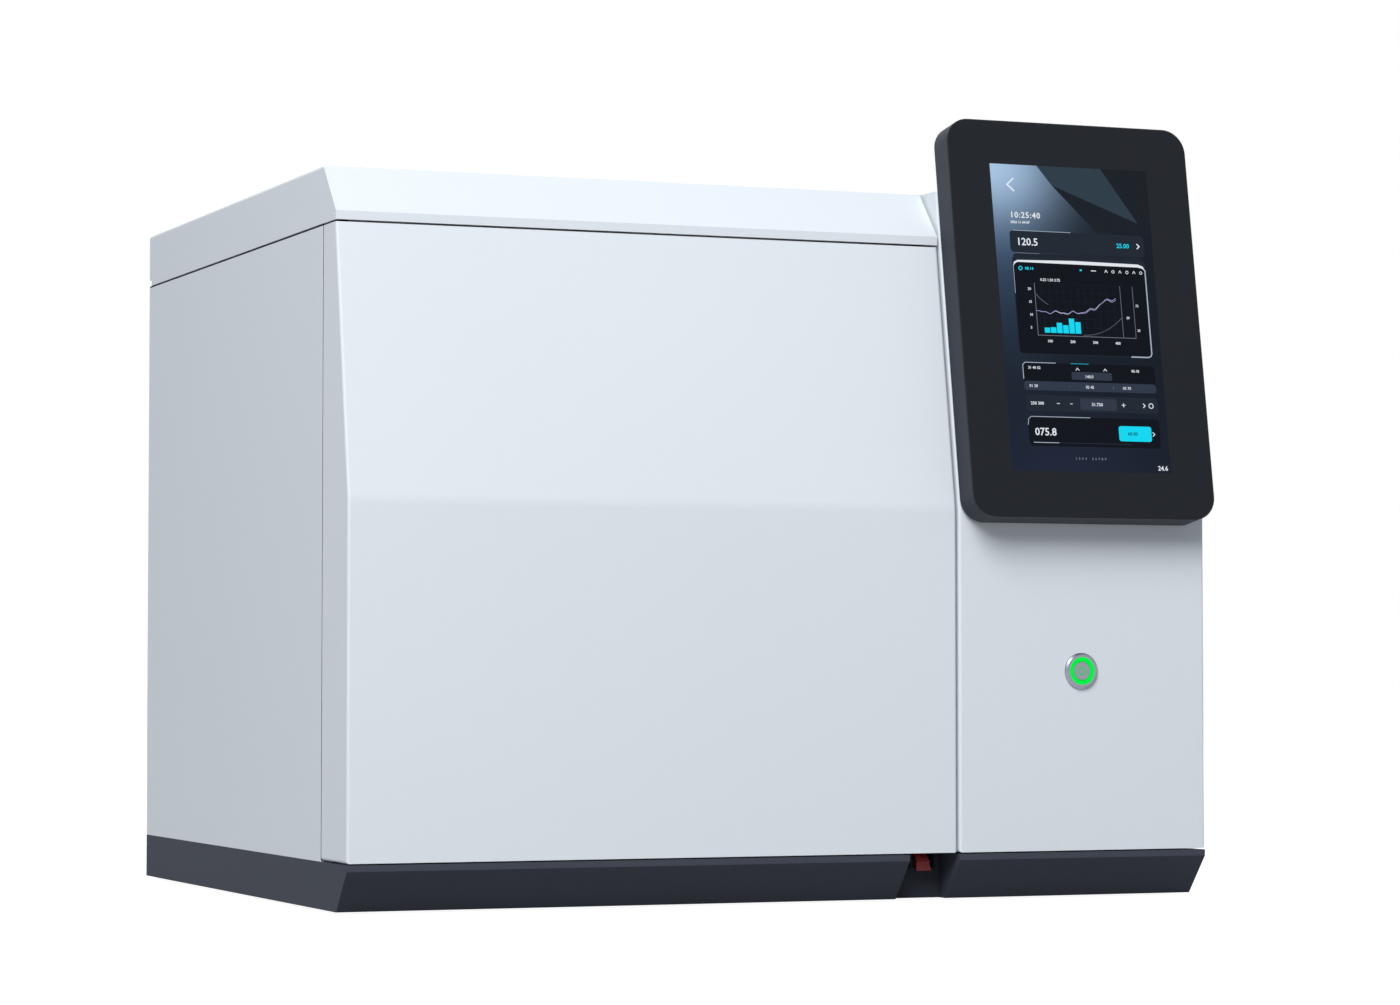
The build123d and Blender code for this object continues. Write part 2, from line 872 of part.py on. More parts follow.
def make_probe():
    """Steel sheathed temperature sensor."""
    x, z = probe_place()
    probe = rod(probe_radius, (x, y_baffle - probe_reach, z), (x, y_back_plate, z))
    return probe + rod(probe_head_radius, (x, y_back_plate, z), (x, y_back_plate + probe_head_length, z))


# Oven fan


def make_fan_motor():
    """Motor with its square mounting flange, bored for the fan shaft."""
    end = y_back_plate + motor_length
    front = y_back_plate + motor_flange
    body = turned_back(
        [
            (0, front),
            (motor_radius, front),
            (motor_radius, end - motor_end_chamfer),
            (motor_radius - motor_end_chamfer, end),
            (0, end),
        ]
    )
    body += from_front(Rectangle(motor_flange_size, motor_flange_size), y_back_plate, front)
    body = Pos(x_middle, 0, z_axis) * body
    bore = shaft_radius + running_clearance
    bore_end = end - motor_end_wall
    return body - rod(bore, (x_middle, y_back_plate - past, z_axis), (x_middle, bore_end, z_axis))


def fan_back():
    return y_liner_back - fan_gap


def make_fan_wheel():
    """Radial wheel: a back disc, a turned hub and backward curved blades cut from rings."""
    back = fan_back()
    disc = turned_back(
        [
            (0, back - fan_plate),
            (fan_radius, back - fan_plate),
            (fan_radius, back),
            (0, back),
        ]
    )
    disc += turned_back(
        [
            (0, back - blade_height),
            (hub_radius - hub_taper, back - blade_height),
            (hub_radius, back - fan_plate),
            (0, back - fan_plate),
        ]
    )
    reach = Circle(fan_radius - blade_sheet) - Circle(fan_inner_radius)
    bend = Pos(blade_centre_x, blade_centre_z)
    ribbon = bend * (Circle(blade_curve + blade_sheet / 2) - Circle(blade_curve - blade_sheet / 2))
    outer_side = Pos(fan_radius, fan_radius / 2) * Rectangle(2 * fan_radius, 2 * fan_radius)
    blade_face = (ribbon & reach) & outer_side
    blade = from_front(blade_face, back - fan_plate - blade_height, back - fan_plate)
    blades = [Rot(0, 360 * turn / blade_count, 0) * blade for turn in range(blade_count)]
    wheel = disc - rod(shaft_radius, (0, back - blade_height - past, 0), (0, back + past, 0))
    return Pos(x_middle, 0, z_axis) * (wheel + blades)


def make_fan_shaft():
    end = y_back_plate + motor_length - motor_end_wall - shaft_end_gap
    start = fan_back() - blade_height - shaft_proud
    return rod(shaft_radius, (x_middle, start, z_axis), (x_middle, end, z_axis))


# Vents


def make_ducts():
    """Square intake and exhaust ducts behind the oven, bored for the flap shaft."""
    ducts = []
    half = duct_inside / 2
    for x, y_end in ((intake_x, y_rear_inside), (exhaust_x, cabinet_depth + duct_reach)):
        centre = Pos(x, z_duct)
        outer = centre * Rectangle(2 * (half + duct_wall), 2 * (half + duct_wall))
        inner = centre * Rectangle(2 * half, 2 * half)
        tube = from_front(outer, y_liner_back, y_end) - from_front(inner, y_liner_back - past, y_end + past)
        tube -= rod(
            flap_shaft_radius + running_clearance,
            (x - 2 * half, y_flap, z_duct),
            (x + 2 * half, y_flap, z_duct),
        )
        ducts.append(tube)
    return group(ducts)


def make_flap_shaft():
    wall = duct_inside / 2 + duct_wall
    end = exhaust_x + wall + stepper_gap + stepper_bore_depth - flap_shaft_gap
    start = intake_x - wall - flap_shaft_proud
    return rod(flap_shaft_radius, (start, y_flap, z_duct), (end, y_flap, z_duct))


def make_flaps():
    """One butterfly flap for each duct, each rolled round the shaft."""
    flaps = []
    half = duct_inside / 2 - flap_clearance
    bore = flap_shaft_radius + running_clearance
    for x in (intake_x, exhaust_x):
        flap = Pos(x, y_flap, z_duct) * Box(2 * half, flap_sheet, 2 * half)
        sleeve = flap_shaft_radius + flap_sheet
        flap += rod(sleeve, (x - half, y_flap, z_duct), (x + half, y_flap, z_duct))
        flap -= rod(bore, (x - 2 * half, y_flap, z_duct), (x + 2 * half, y_flap, z_duct))
        flaps.append(flap)
    return group(flaps)


def make_stepper():
    x0 = exhaust_x + duct_inside / 2 + duct_wall + stepper_gap
    half = stepper_size / 2
    body = block(x0, x0 + stepper_length, y_flap - half, y_flap + half, z_duct - half, z_duct + half)
    body = chamfer(body.edges().filter_by(Axis.X), stepper_corner)
    bore = flap_shaft_radius + running_clearance
    return body - rod(bore, (x0 - past, y_flap, z_duct), (x0 + stepper_bore_depth, y_flap, z_duct))


# Deck with inlets, detectors and gas parts


def make_deck():
    """Sheet over the oven that carries the inlets and detectors."""
    deck = block(sheet, x_bulkhead, y_liner, y_rear_inside, z_deck, z_deck_top)
    return deck - oven_passages()


def make_inlets():
    """Turned injection ports: a stem into the oven, a flange on the deck and a body above."""
    top = z_deck_top + inlet_body_height
    outline = [
        (0, z_cavity_top - stem_drop),
        (inlet_stem_radius, z_cavity_top - stem_drop),
        (inlet_stem_radius, z_deck_top),
        (inlet_flange_radius, z_deck_top),
        (inlet_flange_radius, z_deck_top + flange_thickness),
        (inlet_body_radius, z_deck_top + flange_thickness),
        (inlet_body_radius, top),
        (nut_radius - nut_wall, top),
        (nut_radius - nut_wall, top + nut_seat),
        (0, top + nut_seat),
    ]
    return group([Pos(x, y, 0) * turned(outline) for x, y in port_places[:2]])


def make_septum_nuts():
    """Many-sided grip nuts on the inlets, dished towards the needle hole."""
    foot = z_deck_top + inlet_body_height
    top = foot + nut_height
    nut = from_top(RegularPolygon(nut_radius, nut_sides), foot, top)
    nut = chamfer(nut.edges().group_by(Axis.Z)[-1], nut_chamfer)
    nut -= Pos(0, 0, foot) * Cylinder(nut_radius - nut_wall, 2 * nut_seat)
    dish = 2 * nut_dish
    nut -= turned([(0, top - nut_dish), (dish, top), (dish, top + past), (0, top + past)])
    return group([Pos(x, y, 0) * nut for x, y in port_places[:2]])


def make_detectors():
    """Turned detector bodies with a slimmer, open chimney."""
    top = z_deck_top + detector_height
    outline = [
        (0, z_cavity_top - stem_drop),
        (inlet_stem_radius, z_cavity_top - stem_drop),
        (inlet_stem_radius, z_deck_top),
        (inlet_flange_radius, z_deck_top),
        (inlet_flange_radius, z_deck_top + flange_thickness),
        (detector_radius, z_deck_top + flange_thickness),
        (detector_radius, top),
        (chimney_radius, top),
        (chimney_radius, top + chimney_height),
        (chimney_radius - chimney_wall, top + chimney_height),
        (chimney_radius - chimney_wall, top + chimney_floor),
        (0, top + chimney_floor),
    ]
    return group([Pos(x, y, 0) * turned(outline) for x, y in port_places[2:]])


def manifold_edges():
    x0 = x_middle - manifold_width / 2
    y0 = cabinet_depth - manifold_from_rear
    return x0, x0 + manifold_width, y0, y0 + manifold_depth


def make_manifold():
    """Aluminium gas manifold with its row of valves."""
    x0, x1, y0, y1 = manifold_edges()
    body = block(x0, x1, y0, y1, z_deck_top, z_deck_top + manifold_height)
    body = chamfer(body.edges().filter_by(Axis.Z), manifold_corner)
    for place in range(valve_count):
        x = x0 + manifold_width * (place + 0.5) / valve_count
        valve = turned(
            [
                (0, z_deck_top),
                (valve_radius, z_deck_top),
                (valve_radius, z_deck_top + manifold_height + valve_height),
                (0, z_deck_top + manifold_height + valve_height),
            ]
        )
        body += Pos(x, (y0 + y1) / 2, 0) * valve
    return body


def fitting_places():
    return [x_middle + fitting_pitch * (place - (valve_count - 1) / 2) for place in range(valve_count)]


def make_fittings():
    """Bulkhead gas fittings: a shank from the manifold, a hexagon and an outer nose."""
    y_manifold = manifold_edges()[3]
    z = z_deck_top + tube_level
    shoulder = cabinet_depth + fitting_hex_length + fitting_shoulder
    end = cabinet_depth + fitting_reach
    fittings = []
    for x in fitting_places():
        body = turned_back(
            [
                (0, y_manifold),
                (fitting_radius, y_manifold),
                (fitting_radius, shoulder),
                (fitting_nose_radius, shoulder),
                (fitting_nose_radius, end),
                (0, end),
            ]
        )
        hexagon = RegularPolygon(fitting_hex / 2, 6, major_radius=False)
        body += from_front(hexagon, cabinet_depth, cabinet_depth + fitting_hex_length)
        fittings.append(Pos(x, 0, z) * body)
    return group(fittings)


def make_tubes():
    """Bent steel lines from the manifold to each inlet and detector."""
    z = z_deck_top + tube_level
    y_manifold = manifold_edges()[2]
    tubes = []
    for number, (x, y) in enumerate(port_places):
        inwards = 1 if x < x_middle else -1
        radius = inlet_body_radius if number < 2 else detector_radius
        lane = x + inwards * (tube_spread - tube_step * (number % 2))
        path = FilletPolyline(
            (lane, y_manifold, z), (lane, y, z), (x + inwards * radius, y, z), radius=tube_bend
        )
        section = Plane(origin=path @ 0, z_dir=path % 0) * RegularPolygon(tube_radius, 6)
        tubes.append(sweep(section, path=path))
    return group(tubes)


# Top cover


def cover_outline(inset, y_back):
    """Side outline of the top cover: a short lip, then a chamfer up to the flat top."""
    y_front = front_y(z_cover)
    return [
        (y_front + inset, z_cover),
        (y_front + inset, z_cover + cover_lip + lip_corner(inset)),
        (y_front + chamfer_depth + top_corner(inset), z_top - inset),
        (y_back, z_top - inset),
        (y_back, z_cover),
    ]


def lip_corner(inset):
    """How far the lip's inner corner drops when the wall is set in."""
    rise = z_top - z_cover - cover_lip
    lean = (chamfer_depth**2 + rise**2) ** 0.5
    return inset * (rise - lean) / chamfer_depth


def top_corner(inset):
    """How far the flat top's inner corner moves back when the wall is set in."""
    rise = z_top - z_cover - cover_lip
    lean = (chamfer_depth**2 + rise**2) ** 0.5
    return inset * (lean - chamfer_depth) / rise


def make_top_cover():
    """Sheet cover over the inlets, open underneath, with a chamfered front."""
    outer = from_side(polygon(cover_outline(0.0, cabinet_depth)), 0, door_width)
    upper = [edge for edge in outer.edges() if edge.center().Z > z_top - 0.01]
    outer = fillet(upper, edge_radius)
    inner_points = cover_outline(sheet, cabinet_depth - sheet)
    inner_points[0] = (inner_points[0][0], z_cover - past)
    inner_points[-1] = (inner_points[-1][0], z_cover - past)
    cover = outer - from_side(polygon(inner_points), sheet, door_width - sheet)
    return cover - block(
        -past,
        door_width + past,
        cabinet_depth - cover_relief_depth,
        cabinet_depth + past,
        z_cover - past,
        z_cover + cover_relief_height,
    )


def cover_hinge_places():
    return (cover_hinge_inset, door_width - cover_hinge_inset)


def make_cover_brackets():
    """Arms on the deck that reach back to the cover's hinge line, each with its pin."""
    y, z = cover_pivot
    heel = y - cover_arm_reach
    toe = heel - cover_arm_foot
    arm = polygon(
        [
            (toe, z_deck_top),
            (heel, z_deck_top),
            (heel, z - cover_arm_half),
            (y, z - cover_arm_half),
            (y, z + cover_arm_half),
            (toe, z + cover_arm_half),
        ]
    )
    arm += Pos(y, z) * Circle(cover_ear_radius)
    pin_length = 2 * cover_ear + cover_ear_gap + cover_pin_proud
    brackets = []
    for x in cover_hinge_places():
        bracket = from_side(arm, x, x + cover_ear)
        bracket += block(x, x + cover_foot_width, toe, heel, z_deck_top, z_deck_top + cover_foot_sheet)
        bracket += rod(hinge_pin_radius, (x, y, z), (x + pin_length, y, z))
        brackets.append(bracket)
    return group(brackets)


def make_cover_leaves():
    """Ears under the top cover that turn on the hinge pins."""
    y, z = cover_pivot
    top = z_top - sheet
    front, rear = y - leaf_spread, y + leaf_half
    ear = polygon([(y - leaf_half, z), (rear, z), (rear, top), (front, top)])
    ear += Pos(y, z) * Circle(leaf_radius)
    ear -= Pos(y, z) * Circle(hinge_pin_radius + running_clearance)
    leaves = []
    for x in cover_hinge_places():
        x0 = x + cover_ear + cover_ear_gap
        leaf = from_side(ear, x0, x0 + cover_ear)
        leaf += block(x0, x0 + leaf_flange_width, front, rear, top - leaf_flange_sheet, top)
        leaves.append(leaf)
    return group(leaves)


# Oven door


def make_door_skin():
    """Painted door front with free holes for the hinge pins and a slot for the hook."""
    skin = bent_front(0, door_width, z_front, z_door_top)
    hole = Cylinder(hinge_pin_radius + pin_hole_margin, 4 * sheet)
    skin -= Pos(hinge_from_side, y_hinge, z_front) * hole
    skin -= Pos(hinge_from_side, y_hinge, z_door_top) * hole
    half = lever_width_top / 2 + hook_slot_margin
    slot_end = lever_pivot_back + hook_slot_length
    return skin - block(
        x_lever - half, x_lever + half, lever_pivot_back, slot_end, z_front - past, z_front + sheet + past
    )


def plug_outline(shrink):
    shape = RectangleRounded(
        cavity_width - 2 * (plug_clearance + shrink),
        cavity_height - 2 * (plug_clearance + shrink),
        cavity_radius,
    )
    return Pos(x_middle, z_axis) * shape


def make_door_pan():
    """Flat inner sheet of the door, open where the plug stands on it."""
    pan = block(
        sheet, door_width - sheet, y_pan - pan_sheet, y_pan, z_front + sheet, z_door_top - sheet
    )
    return pan - from_front(plug_outline(pan_sheet), y_pan - 2 * pan_sheet, y_pan + past)


def make_door_plug():
    """Drawn steel cup that enters the oven mouth, welded to the inner sheet round its rim."""
    plug = from_front(plug_outline(0.0), y_pan, y_pan + plug_depth)
    return plug - from_front(plug_outline(pan_sheet), y_pan - past, y_pan + plug_depth - pan_sheet)


def make_door_filling():
    """Insulation slab of the door, stepped into the plug."""
    slab = block(
        cavity_left - filling_margin,
        cavity_right + filling_margin,
        y_pan - pan_sheet - door_filling,
        y_pan - pan_sheet,
        z_cavity - filling_margin,
        z_cavity_top + filling_margin,
    )
    plug_end = y_pan + plug_depth - pan_sheet
    return slab + from_front(plug_outline(pan_sheet), y_pan - 2 * pan_sheet, plug_end)


def make_gasket():
    """Woven seal loop round the plug."""
    ring = cavity_outline(gasket_inset + gasket_width) - cavity_outline(gasket_inset)
    loop = from_front(ring, y_pan, y_frame - gasket_clearance)
    return chamfer(loop.edges().group_by(Axis.Y)[-1], gasket_softening)


def make_hinge_blocks():
    """Bored blocks inside the door that run on the hinge pins."""
    half = hinge_block_size / 2
    x, y = hinge_from_side, y_hinge
    low = z_front + sheet
    high = z_door_top - sheet
    blocks = []
    for z0, z1 in ((low, low + hinge_pin_length), (high - hinge_pin_length, high)):
        body = block(x - half, x + half + hinge_block_foot, y - half, y + half, z0, z1)
        body = chamfer(body.edges().filter_by(Axis.Z), hinge_block_corner)
        bore = rod(hinge_pin_radius + running_clearance, (x, y, z0 - past), (x, y, z1 + past))
        blocks.append(body - bore)
    return group(blocks)


def make_door_hinges():
    """Lower pin on the plinth, and upper bracket whose pin hangs into the door."""
    x, y = hinge_from_side, y_hinge
    lower = rod(hinge_pin_radius, (x, y, z_plinth), (x, y, z_front + sheet + hinge_pin_reach))
    collar_radius = hinge_pin_radius + hinge_collar
    lower += rod(collar_radius, (x, y, z_plinth), (x, y, z_plinth + hinge_collar_height))
    z_bracket = z_door_top + seam_gap / 2
    plate = from_top(
        Pos(x, (y + y_frame) / 2) * Rectangle(2 * bracket_half_width, y_frame - y)
        + Pos(x, y) * Circle(bracket_half_width),
        z_bracket,
        z_bracket + bracket_sheet,
    )
    pin_foot = z_door_top - sheet - hinge_pin_reach
    upper = plate + rod(hinge_pin_radius, (x, y, pin_foot), (x, y, z_bracket))
    return group([lower, upper])


# Release lever


def make_latch_bracket():
    """Folded bracket on the pocket's rear wall, with the lever's pin."""
    half = lever_ear_gap / 2
    wide = half + sheet
    z0 = z_lever - latch_drop
    bracket = block(x_lever - wide, x_lever + wide, pocket_depth - sheet, pocket_depth, z0, z_plinth)
    for side in (-1, 1):
        x0, x1 = sorted((x_lever + side * half, x_lever + side * wide))
        bracket += block(x0, x1, lever_pivot_back - latch_ear_front, pocket_depth, z0, z_plinth)
    reach = half + latch_pin_reach
    y, z = lever_pivot_back, z_lever
    return bracket + rod(lever_pin_radius, (x_lever - reach, y, z), (x_lever + reach, y, z))


def make_lever():
    """Lever with a tapered finger tab, a bored boss and a hook that points up at the door."""
    y, z = lever_pivot_back, z_lever
    half = lever_width_top / 2
    hook_top = z_front - lever_hook_gap
    side = polygon(
        [
            (y - lever_tab_front, z - lever_reach_down),
            (y - lever_tab_rear, z - lever_reach_down),
            (y, z - lever_knee),
            (y + lever_hook_rear, z + lever_knee),
            (y + lever_hook_rear, hook_top),
            (y + lever_hook_front, hook_top),
            (y - lever_knee, z + lever_knee),
            (y - lever_shoulder, z),
        ]
    )
    side += Pos(y, z) * Circle(lever_boss_radius)
    side -= Pos(y, z) * Circle(lever_pin_radius + running_clearance)
    wide = lever_width_foot / 2
    lever = from_side(side, x_lever - wide, x_lever + wide)
    taper = from_front(
        polygon(
            [
                (x_lever - wide, z - lever_reach_down),
                (x_lever + wide, z - lever_reach_down),
                (x_lever + half, z),
                (x_lever + half, z_front),
                (x_lever - half, z_front),
                (x_lever - half, z),
            ]
        ),
        y - lever_reach_down,
        y + lever_reach_down,
    )
    return lever & taper


# Touch screen


def on_tablet(sketch, low, high):
    """Extrudes a sketch drawn on the screen's own plane, from low to high above its rear."""
    return extrude(tablet_plane.offset(low) * sketch, amount=high - low)


def tablet_outline(shrink):
    shape = RectangleRounded(
        tablet_width - 2 * shrink, tablet_height - 2 * shrink, tablet_radius - shrink
    )
    return Pos(tablet_width / 2, tablet_height / 2) * shape


def make_tablet_housing():
    """Moulded rear shell of the touch screen."""
    depth = tablet_thickness - glass_thickness
    shell = on_tablet(tablet_outline(0.0), 0, depth)
    rear = shell.faces().sort_by(lambda face: tablet_plane.to_local_coords(face.center()).Z)[0]
    shell = chamfer(rear.edges(), tablet_rear_edge)
    return shell - on_tablet(tablet_outline(tablet_wall), tablet_wall, depth + past)


def display_outline(grow):
    shape = Rectangle(display_width + 2 * grow, display_height + 2 * grow)
    return Pos(display_left + display_width / 2, display_up + display_height / 2) * shape


def make_display():
    """Display module behind the glass, with the board on its rear."""
    back = tablet_thickness - glass_thickness - display_thickness
    module = on_tablet(display_outline(display_border), back, back + display_thickness)
    board = on_tablet(display_outline(-display_board_inset), tablet_wall, back)
    return module + board


def make_glass():
    """Cover glass with a softened edge."""
    glass = on_tablet(tablet_outline(0.0), tablet_thickness - glass_thickness, tablet_thickness)
    front = glass.faces().sort_by(lambda face: tablet_plane.to_local_coords(face.center()).Z)[-1]
    return chamfer(front.edges(), glass_edge)


# Power button


def at_button(shape):
    return Pos(x_button, 0, z_button) * shape


def make_button_body():
    """Turned bezel and threaded barrel in one."""
    inner = ring_radius
    return at_button(
        turned_back(
            [
                (inner, -bezel_proud),
                (bezel_radius - bezel_chamfer, -bezel_proud),
                (bezel_radius, -bezel_proud + bezel_chamfer),
                (bezel_radius, 0),
                (barrel_radius, 0),
                (barrel_radius, barrel_length),
                (inner, barrel_length),
            ]
        )
    )


def make_light_ring():
    """Translucent ring between bezel and cap."""
    inner = cap_radius + running_clearance
    end = cap_length + ring_tail
    return at_button(
        turned_back(
            [
                (inner, -bezel_proud),
                (ring_radius, -bezel_proud),
                (ring_radius, end),
                (inner, end),
            ]
        )
    )


def make_button_cap():
    """Metal cap with its stem."""
    face = -bezel_proud + cap_recess
    return at_button(
        turned_back(
            [
                (0, face),
                (cap_radius - cap_edge, face),
                (cap_radius, face + cap_edge),
                (cap_radius, face + cap_length),
                (cap_stem_radius, face + cap_length),
                (cap_stem_radius, barrel_length + stem_proud),
                (0, barrel_length + stem_proud),
            ]
        )
    )


def make_contact_block():
    """Switch block that closes the barrel and guides the stem."""
    start = barrel_length
    end = start + contact_block_length
    body = from_front(RectangleRounded(2 * barrel_radius, 2 * barrel_radius, contact_corner), start, end)
    bore_end = start + stem_proud + button_travel + stem_end_gap
    body -= rod(cap_stem_radius + running_clearance, (0, start - past, 0), (0, bore_end, 0))
    for side in (-1, 1):
        terminal = Pos(side * terminal_pitch / 2, 0) * Rectangle(terminal_width, terminal_sheet)
        body += from_front(terminal, end, end + terminal_length)
    return at_button(body)


def make_button_nut():
    """Hexagonal nut that clamps the barrel behind the front panel."""
    end = sheet + button_nut_thickness
    nut = from_front(RegularPolygon(button_nut_radius, 6), sheet, end)
    return at_button(nut - rod(barrel_radius, (0, 0, 0), (0, end + past, 0)))


# Electronics


def make_board():
    """Main board with its edge connectors, finned heat sink and processor."""
    x0 = x_bulkhead + sheet + standoff_length
    x1 = x0 + board_thickness
    y0 = y_frame + board_from_front
    z0 = foot_height + board_up
    z1 = z0 + board_height
    board = block(x0, x1, y0, y0 + board_width, z0, z1)
    y, z = y0 + chip_place[0], z0 + chip_place[1]
    board += block(x1, x1 + chip_height, y, y + chip_size, z, z + chip_size)
    y, z = y0 + sink_place[0], z0 + sink_place[1]
    board += block(x1, x1 + sink_base, y, y + sink_width, z, z + sink_height)
    for fin in range(fin_count):
        y_fin = y + fin_margin + fin_pitch * fin
        board += block(
            x1, x1 + fin_reach, y_fin, y_fin + fin_sheet, z + fin_margin, z + sink_height - fin_margin
        )
    high, low = z1 - socket_margin, z0 + socket_margin
    for place in range(socket_count):
        y = y0 + 2 * stud_inset + socket_pitch * place
        board += block(x1, x1 + upper_socket_reach, y, y + upper_socket_length, high - socket_row, high)
        board += block(x1, x1 + lower_socket_reach, y, y + lower_socket_length, low, low + socket_row)
    return board


def make_supply():
    """Power supply in its slotted case."""
    x0 = column_left + supply_from_bulkhead
    x1 = x0 + supply_width
    y1 = cabinet_depth - supply_from_rear
    y_middle = y1 - supply_depth / 2
    body = block(x0, x1, y1 - supply_depth, y1, z_plinth, z_plinth + supply_height)
    middle = Pos(y_middle, z_plinth + supply_height / 2)
    slots = Sketch() + [
        middle * location * Rectangle(supply_slot_width, supply_slot_length)
        for location in GridLocations(supply_slot_pitch, supply_height, supply_slot_count, 1)
    ]
    return body - from_side(slots, x1 - supply_slot_depth, x1 + past)


def make_cooling_frame():
    """Fan frame with a round throat, struts that hold the middle plate, and the rotor's pin."""
    y0 = y_rear_inside - cooling_fan_depth
    y_plate = y0 + strut_thickness
    square = RectangleRounded(cooling_fan_size, cooling_fan_size, cooling_fan_corner)
    frame = from_front(square - Circle(cooling_fan_bore), y0, y_rear_inside)
    struts = Circle(rotor_hub_radius)
    strut_length = cooling_fan_bore + strut_width / 2
    for location in PolarLocations(0, strut_count, start_angle=90):
        struts += location * Pos(strut_length / 2, 0) * Rectangle(strut_length, strut_width)
    frame += from_front(struts, y0, y_plate)
    frame += rod(rotor_pin_radius, (0, y0, 0), (0, y0 + rotor_pin_length, 0))
    return Pos(x_fan, 0, z_fan) * frame


def make_cooling_rotor():
    """Hub with pitched blades trimmed to the throat."""
    y0 = y_rear_inside - cooling_fan_depth + rotor_front_gap
    y1 = y_rear_inside - rotor_rear_gap
    rotor = rod(rotor_hub_radius, (0, y0, 0), (0, y1, 0))
    sweep_room = rod(rotor_radius, (0, y0, 0), (0, y1, 0))
    blade = Pos(rotor_radius / 2, 0, 0) * Box(rotor_radius * 1.2, rotor_blade_chord, rotor_blade_sheet)
    blade = Pos(0, (y0 + y1) / 2, 0) * (Rot(rotor_pitch, 0, 0) * blade)
    blade = blade & sweep_room
    for turn in range(rotor_blades):
        rotor += Rot(0, 360 * turn / rotor_blades, 0) * blade
    bore_end = y0 - rotor_front_gap + rotor_pin_length + rotor_pin_gap
    rotor -= rod(rotor_pin_radius + running_clearance, (0, y0 - past, 0), (0, bore_end, 0))
    return Pos(x_fan, 0, z_fan) * rotor


def make_oven_rear():
    """Rear panel of the oven side with its louvres, duct holes and gas fitting holes."""
    panel = block(sheet, x_bulkhead, y_rear_inside, cabinet_depth, z_plinth, z_door_top)
    intake = Pos(intake_x, z_duct) * Rectangle(duct_inside, duct_inside)
    exhaust_size = duct_inside + 2 * duct_wall
    exhaust = Pos(exhaust_x, z_duct) * Rectangle(exhaust_size, exhaust_size)
    holes = intake + exhaust
    for x in fitting_places():
        holes += Pos(x, z_deck_top + tube_level) * Circle(fitting_radius + fitting_clearance)
    panel -= from_front(holes, y_rear_inside - past, cabinet_depth + past)
    opening = block(
        louvre_sheet,
        louvre_length - louvre_sheet,
        y_rear_inside - past,
        cabinet_depth + past / 2,
        louvre_sheet,
        louvre_rise - 2 * louvre_sheet,
    )
    column_pitch = louvre_length + louvre_gap
    for column in range(louvre_columns):
        x = x_middle + (column - (louvre_columns - 1) / 2) * column_pitch - louvre_length / 2
        for row in range(louvre_rows):
            place = Pos(x, 0, z_plinth + louvre_from_floor + row * louvre_pitch)
            panel -= place * opening
            panel += place * louvre()
    return panel


def louvre():
    """Pressed hood, open along its lower edge."""
    y = cabinet_depth
    lip = y + louvre_reach
    crown = louvre_rise - louvre_sheet
    outer = polygon([(y, 0), (lip, 0), (y + louvre_sheet, crown), (y, louvre_rise)])
    ceiling = crown - louvre_sheet
    inner = polygon([(y - past, -past), (lip - louvre_sheet, -past), (y, ceiling), (y - past, ceiling)])
    hollow = from_side(inner, louvre_sheet, louvre_length - louvre_sheet)
    return from_side(outer, 0, louvre_length) - hollow


def oven_screw_places():
    z_low, z_high = z_plinth + screw_inset, z_door_top - screw_inset
    return [
        (x, z)
        for x in (sheet + screw_inset, x_middle, x_bulkhead - screw_inset - sheet)
        for z in (z_low, z_high)
    ]


def column_screw_places():
    z_low, z_high = z_plinth + screw_inset, z_top - sheet - screw_inset
    left = x_bulkhead + sheet + screw_inset
    return [(x, z) for x in (left, cabinet_width - sheet - screw_inset) for z in (z_low, z_high)]


def make_column_rear():
    """Rear panel of the electronics column with the fan grille and connector cut-outs."""
    panel = block(
        x_bulkhead, cabinet_width - sheet, y_rear_inside, cabinet_depth, z_plinth, z_top - sheet
    )
    grille = Sketch()
    for row in range(-grille_rows, grille_rows + 1):
        up = row * grille_pitch
        chord = 2 * (cooling_fan_bore**2 - up**2) ** 0.5
        grille += Pos(0, up) * Rectangle(chord - grille_pitch, grille_slot)
    grille -= Rectangle(grille_rib, 2 * cooling_fan_bore)
    holes = Pos(x_fan, z_fan) * grille
    mains_width = mains_flange_width - 2 * mains_flange_lip
    mains_height = mains_flange_height - 2 * mains_flange_lip
    holes += Pos(x_mains, z_socket) * Rectangle(mains_width, mains_height)
    for x, width, height in connector_places():
        holes += Pos(x, z_port) * Rectangle(width, height)
    return panel - from_front(holes, y_rear_inside - past, cabinet_depth + past)


def connector_places():
    """Middle, width and height of the network port and the two signal ports."""
    return [
        (x_mains, network_width, network_height),
        (x_mains - connector_pitch, signal_width, signal_height),
        (x_mains - 2 * connector_pitch, signal_width, signal_height),
    ]


def make_network_port():
    """Network socket, open to the rear."""
    x, width, height = connector_places()[0]
    y1 = cabinet_depth + network_proud
    port = from_front(Pos(x, z_port) * Rectangle(width, height), y1 - network_depth, y1)
    hole = Pos(x, z_port) * Rectangle(network_hole_width, network_hole_height)
    return port - from_front(hole, y1 - network_hole_depth, y1 + past)


def make_signal_ports():
    """Two D-shaped connectors in their flanges."""
    y1 = cabinet_depth
    low, high = -signal_nose_height / 2, signal_nose_height / 2
    foot, top = signal_nose_foot / 2, signal_nose_top / 2
    nose = polygon([(-foot, low), (foot, low), (top, high), (-top, high)])
    ports = []
    for x, width, height in connector_places()[1:]:
        flange = Rectangle(width + 2 * signal_ear, height + 2 * signal_rim)
        port = from_front(flange, y1, y1 + signal_flange)
        port += from_front(Rectangle(width, height), y1 - signal_depth, y1)
        port += from_front(nose, y1, y1 + signal_nose_reach)
        ports.append(Pos(x, 0, z_port) * port)
    return group(ports)


